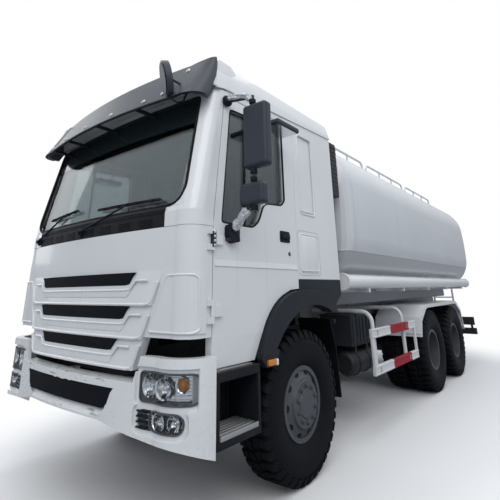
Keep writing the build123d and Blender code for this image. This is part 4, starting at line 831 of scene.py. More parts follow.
# The band height starts the painted shadow of the visor across the windscreen's top.
SCREEN = Glass("screen_glass", "window_glass", tint=(0.85, 0.92, 0.93), band=2.69)
PANE = Glass("door_glass", "window_glass", tint=(0.86, 0.93, 0.94))
LAMP = LampGlass("lamp_cover", "lamp_glass")
AMBER = Lens("amber_lens", "lamp_glass")
REFLECTOR = Chrome("lamp_reflector", "lamp_glass")
MIRROR_GLASS = Chrome("mirror_glass", "lamp_glass", depth=0.0)
# Look-down mirror glass darkened: a painted dark reflection.
LOOK_DOWN_PAINTED_REFLECTION = Chrome("look_down_painted_reflection", "lamp_glass", colour=(0.05, 0.06, 0.075), depth=0.0, rough=0.45)
LINING = Moulded(
    "cab_lining", "grey_plastic", colour=(0.03, 0.034, 0.038), rough=0.7, dust_share=0.04, shine=0.15,
)
BOX_BLACK = Moulded("box_black", "black_plastic", colour=(0.02, 0.024, 0.031), dust_share=0.1)
VENT_MESH = Mesh("vent_mesh", "black_plastic", bar=(0.1, 0.105, 0.115), pitch=0.034)
CLOTH = Fabric("seat_cloth", "seat_fabric")


def both(*stems: str) -> Tuple[str, ...]:
    """Names of the nodes that come once on each side."""
    return tuple(stem + side.label() for stem in stems for side in Side)


NODE_FINISH: Dict[Finish, Tuple[str, ...]] = {
    WHITE: (
        "front_panel", "grille", "cab_sides", "cab_roof", "cab_back", "screen_frame", "door_left",
        "door_right", "rear_fenders", "rear_ladder", "hose_tubes",
    ),
    BUMPER: ("bumper",),
    TANK: ("tank_shell", "manhole_lid", "manhole_neck", "walkway"),
    SUBFRAME_PAINTED_SHADE: ("tank_subframe",),
    GUARD: ("side_guards",),
    VISOR: ("sun_visor",),
    BLACK: ("cowl", "step_wells", "wipers"),
    BOX_BLACK: ("battery_box",),
    MESH: ("air_intake",),
    FLARE: ("wheel_arches",),
    MIRROR_SHELL: both("mirrors_") + ("look_down_mirror",),
    TRIM_GREY: ("dashboard", "cab_floor", "seats"),
    CHASSIS: ("ladder_frame", "driveline", "air_tanks", "rear_underrun"),
    CAST: ("front_axle_beam", "knuckle_left", "knuckle_right", "rear_axles", "leaf_springs", "outlet_pipe"),
    RIM: both("front_wheel_", "mid_wheels_", "rear_wheels_"),
    TYRE: both("front_tyre_", "mid_tyres_", "rear_tyres_"),
    FLAP: ("mudflaps",),
    SCREEN: ("windscreen",),
    PANE: both("door_glass_"),
    LAMP: ("lamps",),
    ALLOY: ("step_treads", "fuel_tank"),
}
SHARP_EDGES = {
    "front_panel": 0.006, "grille": 0.01, "cab_sides": 0.006, "cab_roof": 0.018, "door_left": 0.006,
    "door_right": 0.006, "bumper": 0.012, "cowl": 0.008, "wheel_arches": 0.012, "step_wells": 0.008,
    "sun_visor": 0.006, "side_guards": 0.004, "battery_box": 0.008, "rear_fenders": 0.002,
    "screen_frame": 0.004, "tank_subframe": 0.004, "air_intake": 0.012, "dashboard": 0.015,
    "walkway": 0.003, "step_treads": 0.004,
}


class Shape:
    """One mesh in the making, in the shared frame, in metres."""

    def __init__(self) -> None:
        """Start empty."""
        self.mesh = bmesh.new()

    def loft(self, rings: Sequence[Sequence[Point]], closed: bool = True, capped: bool = True) -> "Shape":
        """Skin a row of rings that have the same count of points.

        Args:
            rings: Rings in order.
            closed: Whether each ring joins its last point to its first.
            capped: Whether the first and last rings are filled.

        Returns:
            The shape itself.
        """
        rows = [[self.mesh.verts.new(p) for p in ring] for ring in rings]
        count = len(rows[0])
        spans = count if closed else count - 1
        for here, there in zip(rows, rows[1:]):
            for i in range(spans):
                j = (i + 1) % count
                self.mesh.faces.new((here[i], here[j], there[j], there[i]))
        if capped and closed:
            self.mesh.faces.new(list(reversed(rows[0])))
            self.mesh.faces.new(rows[-1])
        return self

    def ribbon(self, first: Sequence[Point], second: Sequence[Point], depth: Point) -> "Shape":
        """A strip between two paths, as thick as a vector.

        Args:
            first: Points along one edge.
            second: Points along the other edge.
            depth: From the strip's face to its back.

        Returns:
            The shape itself.
        """
        back = Vector(depth)
        rings = [[a, b, tuple(Vector(b) + back), tuple(Vector(a) + back)] for a, b in zip(first, second)]
        return self.loft(rings)

    def prism(self, outline: Sequence[Point], along: Point) -> "Shape":
        """A flat outline pulled along a vector."""
        far = [tuple(Vector(p) + Vector(along)) for p in outline]
        return self.loft([list(outline), far])

    def block(self, low: Point, high: Point, chamfer: float = 0.0) -> "Shape":
        """A box between two corners, with its edges chamfered round.

        Args:
            low: The corner with the smaller places.
            high: The corner with the larger places.
            chamfer: Width of the rounding; 0 leaves the edges sharp.

        Returns:
            The shape itself.
        """
        middle = (Vector(low) + Vector(high)) / 2
        size = Vector(high) - Vector(low)
        matrix = Matrix.Translation(middle) @ Matrix.Diagonal((*size, 1.0))
        made = bmesh.ops.create_cube(self.mesh, size=1.0, matrix=matrix)
        if chamfer:
            edges = list({e for v in made["verts"] for e in v.link_edges})
            bmesh.ops.bevel(self.mesh, geom=edges, offset=chamfer, segments=2, profile=0.6, affect="EDGES")
        return self

    def tube(self, path: Sequence[Point], radius: float, sides: int = 10, closed: bool = False) -> "Shape":
        """A round bar along a path.

        Args:
            path: Points along the bar's middle.
            radius: Half the bar's thickness.
            sides: Count of points round the bar.
            closed: Whether the path joins its end to its start.

        Returns:
            The shape itself.
        """
        points = [Vector(p) for p in path]
        count = len(points)
        rings = []
        normal = Vector((0.0, 0.0, 1.0))
        for i, point in enumerate(points):
            before = points[i - 1] if i or closed else point
            after = points[(i + 1) % count] if i + 1 < count or closed else point
            along = (after - before).normalized()
            if abs(along.dot(normal)) > 0.95:
                normal = along.orthogonal()
            normal = (normal - along * normal.dot(along)).normalized()
            cross = along.cross(normal)
            ways = [normal * math.cos(a) + cross * math.sin(a) for a in turns(sides)]
            rings.append([tuple(point + way * radius) for way in ways])
        if closed:
            rings.append(rings[0])
        return self.loft(rings, capped=not closed)

    def lathe(
        self, profile: Sequence[Flat], origin: Point, axis: Point, steps: int = 32, capped: bool = True,
    ) -> "Shape":
        """Turn a profile of radius and height about an axis.

        Args:
            profile: Radius and height along the axis, in order.
            origin: Point on the axis at height 0.
            axis: The axis's direction.
            steps: Count of points round the axis.
            capped: Whether the ends are filled.

        Returns:
            The shape itself.
        """
        up = Vector(axis).normalized()
        side = up.orthogonal().normalized()
        cross = up.cross(side)
        ways = [side * math.cos(a) + cross * math.sin(a) for a in turns(steps)]
        rings = []
        for radius, height in profile:
            centre = Vector(origin) + up * height
            rings.append([tuple(centre + way * radius) for way in ways])
        return self.loft(rings, capped=capped)

    def nut(self, at: Point, axis: Point, radius: float, height: float) -> "Shape":
        """A hexagon nut on a washer with its bolt's end.

        Args:
            at: The washer's foot.
            axis: The bolt's direction.
            radius: The hexagon's radius.
            height: The nut's height.

        Returns:
            The shape itself.
        """
        for profile, sides in NUT_PROFILES:
            self.lathe([(radius * wide, height * tall) for wide, tall in profile], at, axis, sides)
        return self

    def mirrored(self) -> "Shape":
        """Add the same again on the truck's other side.

        Returns:
            The shape itself.
        """
        every = self.mesh.verts[:] + self.mesh.edges[:] + self.mesh.faces[:]
        made = bmesh.ops.duplicate(self.mesh, geom=every)["geom"]
        for item in made:
            if isinstance(item, bmesh.types.BMVert):
                item.co.y = -item.co.y
        faces = [item for item in made if isinstance(item, bmesh.types.BMFace)]
        bmesh.ops.reverse_faces(self.mesh, faces=faces)
        return self

    def build(
        self, name: str, finish: Finish, body: str, smooth: float = 38.0, at: Point = (0.0, 0.0, 0.0),
    ) -> bpy.types.Object:
        """Make the object, give it its finish and let it ride on a body.

        Args:
            name: The piece's name.
            finish: Its finish.
            body: The CAD body that it moves with.
            smooth: Largest angle in degrees between faces that shade as one.
            at: Place of the object's own origin, where the mesh is drawn about it.

        Returns:
            The new object.
        """
        bmesh.ops.recalc_face_normals(self.mesh, faces=self.mesh.faces[:])
        data = bpy.data.meshes.new(name)
        self.mesh.to_mesh(data)
        self.mesh.free()
        data.shade_smooth()
        data.set_sharp_from_angle(angle=math.radians(smooth))
        piece = bpy.data.objects.new(name, data)
        piece.location = at
        bpy.context.scene.collection.objects.link(piece)
        data.materials.append(finish.material())
        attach(piece, body)
        LOG.info("%s rides on %s, %d faces", name, body, len(data.polygons))
        return piece


def fa(x: float) -> float:
    """X of a place measured forward from the front axle."""
    return FRONT_AXLE + x


def turns(count: int, start: float = 0.0) -> List[float]:
    """Angles of a full turn in equal steps, the first at a share of a step."""
    return [2 * math.pi * (k + start) / count for k in range(count)]


def oval(centre: Vector, wide: Vector, tall: Vector, count: int) -> List[Point]:
    """Points round an ellipse, given its middle and its two half axes."""
    return [tuple(centre + wide * math.cos(a) + tall * math.sin(a)) for a in turns(count)]


def arc_through(a: Flat, b: Flat, c: Flat) -> Tuple[float, float, float]:
    """The circle through three points.

    Args:
        a: First point.
        b: Second point.
        c: Third point.

    Returns:
        Both coordinates of its middle, and its radius.
    """
    (ax, ay), (bx, by), (cx, cy) = a, b, c
    aa, bb, cc = (p * p + q * q for p, q in (a, b, c))
    d = 2 * (ax * (by - cy) + bx * (cy - ay) + cx * (ay - by))
    ux = (aa * (by - cy) + bb * (cy - ay) + cc * (ay - by)) / d
    uy = (aa * (cx - bx) + bb * (ax - cx) + cc * (bx - ax)) / d
    return ux, uy, math.hypot(ax - ux, ay - uy)


@dataclass(frozen=True)
class Bow:
    """A bowed front in plan, with rounded corners, as the CAD draws it."""

    front: float
    edge_x: float
    edge_y: float
    half: float

    def corner_arc(self) -> Tuple[Flat, Tuple[float, float, float]]:
        """The rounded corner.

        Returns:
            Its last point, and the circle that it follows.
        """
        span = self.half - self.edge_y
        via = (self.edge_x - span * CORNER_VIA, self.half - span * CORNER_VIA)
        last = (self.edge_x - span * CORNER_END, self.half)
        return last, arc_through((self.edge_x, self.edge_y), via, last)

    def x_at(self, y: float) -> float:
        """X of the outline.

        Args:
            y: Distance across, on either side.

        Returns:
            X there.
        """
        across = abs(y)
        if across <= self.edge_y:
            ends = ((self.edge_x, -self.edge_y), (self.edge_x, self.edge_y))
            ux, uy, r = arc_through(ends[0], (self.front, 0.0), ends[1])
        else:
            ux, uy, r = self.corner_arc()[1]
        return ux + math.sqrt(max(0.0, r * r - (across - uy) ** 2))

    def corner(self, out: float, steps: int = 12) -> List[Flat]:
        """Points along the rounded corner.

        Args:
            out: Distance outside it.
            steps: Count of spans.

        Returns:
            X and Y of each point.
        """
        last, (ux, uy, r) = self.corner_arc()
        start = math.atan2(self.edge_y - uy, self.edge_x - ux)
        turn = math.atan2(last[1] - uy, last[0] - ux) - start
        angles = [start + turn * k / steps for k in range(steps + 1)]
        return [(ux + (r + out) * math.cos(a), uy + (r + out) * math.sin(a)) for a in angles]

    def trace(self, line: Sequence[Flat], out: float) -> List[Point]:
        """Points of a line in Y and Z laid on the front, so far forward of it."""
        return [(self.x_at(y) + out, y, z) for y, z in line]

    def path(self, y0: float, y1: float, z: float, out: float, steps: int = 24) -> List[Point]:
        """Level points along the outline.

        Args:
            y0: Y at the start.
            y1: Y at the end.
            z: Height.
            out: Distance forward of the outline.
            steps: Count of spans.

        Returns:
            The points in order.
        """
        return self.trace([(y0 + (y1 - y0) * (i / steps), z) for i in range(steps + 1)], out)


CAB_FRONT = Bow(fa(1.430), fa(1.368), 1.040, 1.200)
BUMPER_FRONT = Bow(fa(1.500), fa(1.420), 0.968, 1.248)
GRILLE_FRONT = Bow(fa(1.448), fa(1.386), 1.040, 1.218)
PAD_FRONT = Bow(fa(1.439), fa(1.377), 1.040, 1.209)
SCREEN_FOOT = 1.990
SCREEN_SLOPE = 0.190 / 0.995


def screen_point(y: float, z: float, out: float) -> Point:
    """Point on the leaning upper front, so far outside it."""
    return (CAB_FRONT.x_at(y) - SCREEN_SLOPE * (z - SCREEN_FOOT) + out, y, z)


def rounded(corners: Sequence[Flat], radius: Sequence[float], steps: int = 8) -> List[Flat]:
    """Closed outline with rounded corners.

    Args:
        corners: Corners in order.
        radius: Distance from each corner at which its rounding starts.
        steps: Count of spans in each rounding.

    Returns:
        Points along the outline.
    """
    points = []
    count = len(corners)
    for i, corner in enumerate(corners):
        here = Vector(corner)
        before = here + (Vector(corners[i - 1]) - here).normalized() * radius[i]
        after = here + (Vector(corners[(i + 1) % count]) - here).normalized() * radius[i]
        for k in range(steps + 1):
            t = k / steps
            points.append(tuple(before * (1 - t) ** 2 + here * (2 * t * (1 - t)) + after * t ** 2))
    return points


def rounded_box(low: Flat, high: Flat, radius: float, steps: int = 5) -> List[Flat]:
    """Outline of a box between two corners, with all four rounded alike."""
    return rounded((low, (high[0], low[1]), high, (low[0], high[1])), (radius,) * 4, steps)


def dense(line: Sequence[Flat], step: float, closed: bool = True) -> List[Flat]:
    """The same line with more points on its long spans.

    Args:
        line: Points in order.
        step: Largest distance between neighbours.
        closed: Whether the last point joins the first.

    Returns:
        Points along the line.
    """
    points = []
    ends = list(line[1:]) + ([line[0]] if closed else [])
    for a, b in zip(line, ends):
        count = max(1, math.ceil(math.dist(a, b) / step))
        across, up = (b[0] - a[0]) / count, (b[1] - a[1]) / count
        points.extend((a[0] + across * k, a[1] + up * k) for k in range(count))
    return points if closed else points + [tuple(line[-1])]


@dataclass(frozen=True)
class Tier:
    """A slot or plate across a bowed front, wider at its top."""

    low: float
    top: float
    half_low: float
    half_top: float
    turn: float = 0.035

    def foot(self, y: float) -> float:
        """Height of the lower edge, with its corner rounded.

        Args:
            y: Distance across, on either side.

        Returns:
            The height there.
        """
        past = abs(y) - self.half_low
        slant = max(0.0, past) * (self.top - self.low) / (self.half_top - self.half_low)
        into = min(max(0.0, past + self.turn), self.turn)
        lift = self.turn - math.sqrt(self.turn ** 2 - into ** 2 * 0.9)
        return min(self.top - 0.002, self.low + slant + lift)


def panel(shape: Shape, bow: Bow, tier: Tier, out: float, deep: float = 0.03) -> None:
    """A strip that fills a slot.

    Args:
        shape: The mesh in the making.
        bow: The front that it follows.
        tier: The slot.
        out: Distance forward of the front.
        deep: The strip's thickness.
    """
    steps = 48
    row = [tier.half_top * (2 * k / steps - 1) for k in range(steps + 1)]
    low = [(bow.x_at(y) + out, y, tier.foot(y)) for y in row]
    top = [(bow.x_at(y) + out, y, tier.top) for y in row]
    shape.ribbon(low, top, (-deep, 0.0, 0.0))


@dataclass
class Studio:
    """Floor, soft light, pale background and the photograph's camera."""

    place: Point = (5.979, 3.0957, 1.4628)
    azimuth: float = 38.671
    elevation: float = -17.75
    roll: float = -0.925
    focal_px: float = 389.52
    centre_px: Tuple[float, float] = (249.42, 164.7)
    frame_px: float = 500.0
    sensor_mm: float = 36.0
    floor_half: float = 60.0
    sky: Colour = (0.874, 0.912, 0.95)
    ground: Colour = (0.285, 0.304, 0.342)
    bounce: Colour = (0.32, 0.33, 0.36)
    pale: Colour = (0.82, 0.82, 0.83)
    spread: Flat = (5.4, 2.6)

    def build(self) -> None:
        """Make the floor, the lights, the world and the camera."""
        self.floor()
        self.lights()
        self.world()
        self.camera()

    def floor(self) -> None:
        """Pale floor that turns plain white away from the truck."""
        half = self.floor_half
        corners = [(-half, -half, 0.0), (half, -half, 0.0), (half, half, 0.0), (-half, half, 0.0)]
        data = bpy.data.meshes.new("floor")
        data.from_pydata(corners, [], [(0, 1, 2, 3)])
        floor = bpy.data.objects.new("floor", data)
        bpy.context.scene.collection.objects.link(floor)
        material = bpy.data.materials.new("pale_floor")
        material.use_nodes = True
        graph = Graph(material.node_tree)
        along, across, _ = graph.split(graph.place())
        away = ((along / self.spread[0]) ** 2.0 + (across / self.spread[1]) ** 2.0) ** 0.5
        seen = graph.seen()
        tone = graph.mix(seen, self.bounce, self.pale)
        matte = graph.surface({"Base Color": tone, "Roughness": 0.9})
        white = Sock(graph, graph.node("ShaderNodeEmission", {}, {"Strength": 1.0}).outputs[0])
        graph.output(graph.blend(away.rise(0.85, 1.25) * seen, matte, white))
        data.materials.append(material)

    def lights(self) -> None:
        """A wide soft key over the front left, one over the top and a weaker one over the right."""
        for name, at, aim, size, power in (
            ("key", (9.0, 7.0, 9.5), (1.0, 0.0, 1.6), 8.0, 470.0),
            ("top", (0.0, 0.0, 12.0), (0.0, 0.0, 0.0), 10.0, 400.0),
            ("fill", (3.0, -10.0, 6.0), (1.0, 0.0, 1.5), 8.0, 220.0),
        ):
            data = bpy.data.lights.new(name, "AREA")
            data.energy = power
            data.size = size
            lamp = bpy.data.objects.new(name, data)
            lamp.location = at
            lamp.rotation_euler = (Vector(aim) - Vector(at)).to_track_quat("-Z", "Y").to_euler()
            bpy.context.scene.collection.objects.link(lamp)

    def world(self) -> None:
        """White where it is seen; a soft sky for its light."""
        world = bpy.data.worlds.new("studio")
        bpy.context.scene.world = world
        world.use_nodes = True
        graph = Graph(world.node_tree)
        up = graph.split(Sock(graph, graph.node("ShaderNodeTexCoord", {}, {}).outputs["Generated"]))[2]
        colour = graph.mix(up.rise(-0.1, 0.6), self.ground, self.sky)
        shown = graph.mix(graph.seen(), colour, (1.0, 1.0, 1.0))
        back = graph.node("ShaderNodeBackground", {}, {"Color": shown, "Strength": 1.0})
        graph.node("ShaderNodeOutputWorld", {}, {"Surface": Sock(graph, back.outputs[0])})

    def camera(self) -> None:
        """The photograph's camera, with its principal point as lens shift."""
        az = math.radians(self.azimuth)
        el = math.radians(self.elevation)
        back = Vector((math.cos(el) * math.cos(az), math.cos(el) * math.sin(az), math.sin(el)))
        right = Vector((0.0, 0.0, 1.0)).cross(back).normalized()
        up = back.cross(right)
        c, s = math.cos(math.radians(self.roll)), math.sin(math.radians(self.roll))
        turned_right = right * c + up * s
        turned_up = up * c - right * s
        data = bpy.data.cameras.new("camera")
        data.sensor_width = self.sensor_mm
        data.lens = self.focal_px / self.frame_px * self.sensor_mm
        data.shift_x = 0.5 - self.centre_px[0] / self.frame_px
        data.shift_y = self.centre_px[1] / self.frame_px - 0.5
        data.clip_end = 300.0
        camera = bpy.data.objects.new("camera", data)
        turn = Matrix((turned_right, turned_up, back)).transposed().to_4x4()
        camera.matrix_world = Matrix.Translation(self.place) @ turn
        bpy.context.scene.collection.objects.link(camera)
        bpy.context.scene.camera = camera
        bpy.context.scene.view_settings.view_transform = "Standard"


@dataclass
class CadSkin:
    """Finishes for the CAD nodes, with their hard edges softened."""

    nodes: Dict[str, bpy.types.Object]
    weld: float = 0.00002
    flat: float = 0.6
    sharp: float = 28.0

    def dress(self) -> None:
        """Give every node its finish and its edges."""
        for finish, names in NODE_FINISH.items():
            for name in names:
                node = self.nodes[name]
                node.data.materials.clear()
                node.data.materials.append(finish.material())
                if name in SHARP_EDGES:
                    self.soften(node, SHARP_EDGES[name])
                LOG.info("%s takes %s", name, finish.name)

    def soften(self, node: bpy.types.Object, width: float) -> None:
        """Round a node's hard edges by modifiers.

        Args:
            node: The CAD node's object.
            width: Width of the rounding in metres.
        """
        join = node.modifiers.new("join", "WELD")
        join.merge_threshold = self.weld
        flatten = node.modifiers.new("flatten", "DECIMATE")
        flatten.decimate_type = "DISSOLVE"
        flatten.angle_limit = math.radians(self.flat)
        bevel = node.modifiers.new("round", "BEVEL")
        bevel.width = width
        bevel.segments = 3
        bevel.limit_method = "ANGLE"
        bevel.angle_limit = math.radians(self.sharp)
        bevel.use_clamp_overlap = True
        bevel.harden_normals = False
        node.modifiers.new("shade", "WEIGHTED_NORMAL").keep_sharp = False


@dataclass
class Tyres:
    """Block-tread tyres that stand for the plain CAD tyres."""

    radius: float = 0.5624
    base: float = 0.544
    pitches: int = 38
    steps: int = 76
    dual: float = 0.1725

    def carcass(self, shape: Shape, y: float) -> None:
        """Turn the tyre's body about its middle.

        Args:
            shape: The mesh in the making.
            y: Middle of the tyre.
        """
        half = [
            (self.base, 0.0), (self.base - 0.002, 0.06), (self.base - 0.006, 0.112), (0.529, 0.132),
            (0.512, 0.141), (0.486, 0.1495), (0.455, 0.1555), (0.42, 0.157), (0.38, 0.1535), (0.345, 0.145),
            (0.318, 0.134), (0.3, 0.124), (0.286, 0.114), (0.276, 0.1075), (0.262, 0.106),
        ]
        profile = [(r, y - w) for r, w in reversed(half)] + [(r, y + w) for r, w in half[1:]]
        shape.lathe(profile + profile[:1], (0.0, 0.0, 0.0), Axis.Y.value, self.steps, capped=False)

    def lug(
        self, shape: Shape, profile: Sequence[Flat], y: float, turn: float, width: float, slant: float,
    ) -> None:
        """One block of tread.

        Args:
            shape: The mesh in the making.
            profile: Radius and distance across, round the block's section.
            y: Middle of the tyre.
            turn: Angle of the block's middle.
            width: Its angle along the tread.
            slant: Turn for each metre across.
        """
        rings = []
        for end in (-0.5, 0.5):
            ring = []
            for r, w in profile:
                taper = 1.0 if r < self.radius - 0.004 else 0.9
                a = turn + end * width * taper + slant * abs(w)
                ring.append((r * math.sin(a), y + w, r * math.cos(a)))
            rings.append(ring)
        shape.loft(rings)

    def tread(self, shape: Shape, y: float) -> None:
        """Two rows of shoulder blocks and two of middle blocks.

        Args:
            shape: The mesh in the making.
            y: Middle of the tyre.
        """
        top = self.radius
        shoulder = [
            (self.base - 0.004, 0.064), (top, 0.066), (top, 0.118), (top - 0.012, 0.134), (0.519, 0.1465),
            (0.496, 0.1545), (0.5, 0.146), (0.526, 0.13),
        ]
        middle = [(self.base - 0.004, 0.006), (top, 0.008), (top, 0.056), (self.base - 0.004, 0.058)]
        step = 2 * math.pi / self.pitches
        for i in range(self.pitches):
            for side in (-1, 1):
                outer = [(r, w * side) for r, w in shoulder]
                inner = [(r, w * side) for r, w in middle]
                odd = 0.25 if side < 0 else 0.0
                long = 0.66 if i % 2 else 0.54
                self.lug(shape, outer, y, (i + odd) * step, step * long, 0.35)
                self.lug(shape, inner, y, (i + odd + 0.45) * step, step * 0.74, -0.9)

    def build(self) -> None:
        """Make every tyre and hide its CAD node."""
        for side in Side:
            label = side.label()
            middle = (FRONT_AXLE, FRONT_TRACK * side.value, AXLE_Z)
            places = [("front", middle, (0.0,), "front_tyre_")]
            for axle, x in REAR_AXLES:
                middle = (x, REAR_TRACK * side.value, AXLE_Z)
                places.append((axle, middle, (-self.dual, self.dual), axle + "_tyres_"))
            for axle, middle, offsets, node in places:
                shape = Shape()
                for y in offsets:
                    self.carcass(shape, y)
                    self.tread(shape, y)
                piece = shape.build(f"{axle}_tread_{label}", TYRE, f"{axle}_{label}_roll", 40.0, middle)
                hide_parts(node + label)


@dataclass
class WheelTrim:
    """Front wheel discs with nuts and hand holes of painted shade, and the rear wheels' nuts and hub bolts.
    """

    nuts: int = 10
    front_ring: float = 0.134
    front_face: float = 0.149
    front_nut: Flat = (0.0155, 0.02)
    disc: Line = (
        (0.276, 0.06), (0.27, 0.09), (0.262, 0.096), (0.252, 0.098), (0.198, 0.122), (0.186, 0.13),
        (0.18, 0.144), (0.172, 0.15), (0.108, 0.15), (0.103, 0.1535), (0.1, 0.158), (0.06, 0.1595),
        (0.001, 0.16),
    )
    hole_ring: float = 0.225
    hole_face: float = 0.1115
    hole_lean: float = 0.45
    hole_half: Flat = (0.027, 0.017)
    hole_deep: float = 0.012
    rear_ring: float = 0.152
    rear_face: float = 0.017
    rear_nut: Flat = (0.0165, 0.026)
    hub_ring: float = 0.08
    hub_face: float = 0.186
    hub_bolt: Line = ((0.008, 0.0), (0.008, 0.006), (0.006, 0.0075))

    def spot(self, middle: Point, ring: float, out: float, a: float) -> Point:
        """A place at an angle on a ring about a wheel's middle, so far along Y."""
        return (middle[0] + ring * math.sin(a), middle[1] + out, middle[2] + ring * math.cos(a))

    def front(self, side: Side) -> None:
        """Disc, nuts and hand holes of one front wheel; the holes are dark slugs of painted shade.

        Args:
            side: The truck's side.
        """
        middle = (FRONT_AXLE, FRONT_TRACK * side.value, AXLE_Z)
        out = (0.0, float(side.value), 0.0)
        body = f"front_{side.label()}_roll"
        shape = Shape()
        for a in turns(self.nuts):
            at = self.spot(middle, self.front_ring, self.front_face * side.value, a)
            shape.nut(at, out, *self.front_nut)
        shape.lathe(self.disc, middle, out, 64)
        shape.build(f"front_disc_{side.label()}", RIM, body, 24.0)
        # The hand holes are dark rubber slugs on the solid disc: painted shade for the space behind them.
        holes = Shape()
        for a in turns(self.nuts, 0.5):
            spoke = Vector((math.sin(a), 0.0, math.cos(a)))
            tangent = Vector((math.cos(a), 0.0, -math.sin(a)))
            lean = (spoke - Vector(out) * self.hole_lean).normalized()
            centre = Vector(middle) + spoke * self.hole_ring + Vector(out) * self.hole_face
            ring = oval(centre, tangent * self.hole_half[0], lean * self.hole_half[1], 16)
            holes.prism(ring, tuple(Vector(out) * -self.hole_deep))
        holes.build(f"hand_holes_{side.label()}", SEAL, body)

    def rear(self, side: Side, axle: str, x: float) -> None:
        """Nuts and hub bolts of one rear pair.

        Args:
            side: The truck's side.
            axle: The axle's name in the CAD bodies.
            x: The axle's place.
        """
        middle = (x, REAR_TRACK * side.value, AXLE_Z)
        out = (0.0, float(side.value), 0.0)
        shape = Shape()
        for a in turns(self.nuts, 0.5):
            at = self.spot(middle, self.rear_ring, self.rear_face * side.value, a)
            shape.nut(at, out, *self.rear_nut)
            bolt = self.spot(middle, self.hub_ring, self.hub_face * side.value, a)
            shape.lathe(self.hub_bolt, bolt, out, 6)
        shape.build(f"{axle}_nuts_{side.label()}", RIM, f"{axle}_{side.label()}_roll", 30.0)

    def build(self) -> None:
        """Dress all the wheels."""
        for side in Side:
            self.front(side)
            for axle, x in REAR_AXLES:
                self.rear(side, axle, x)


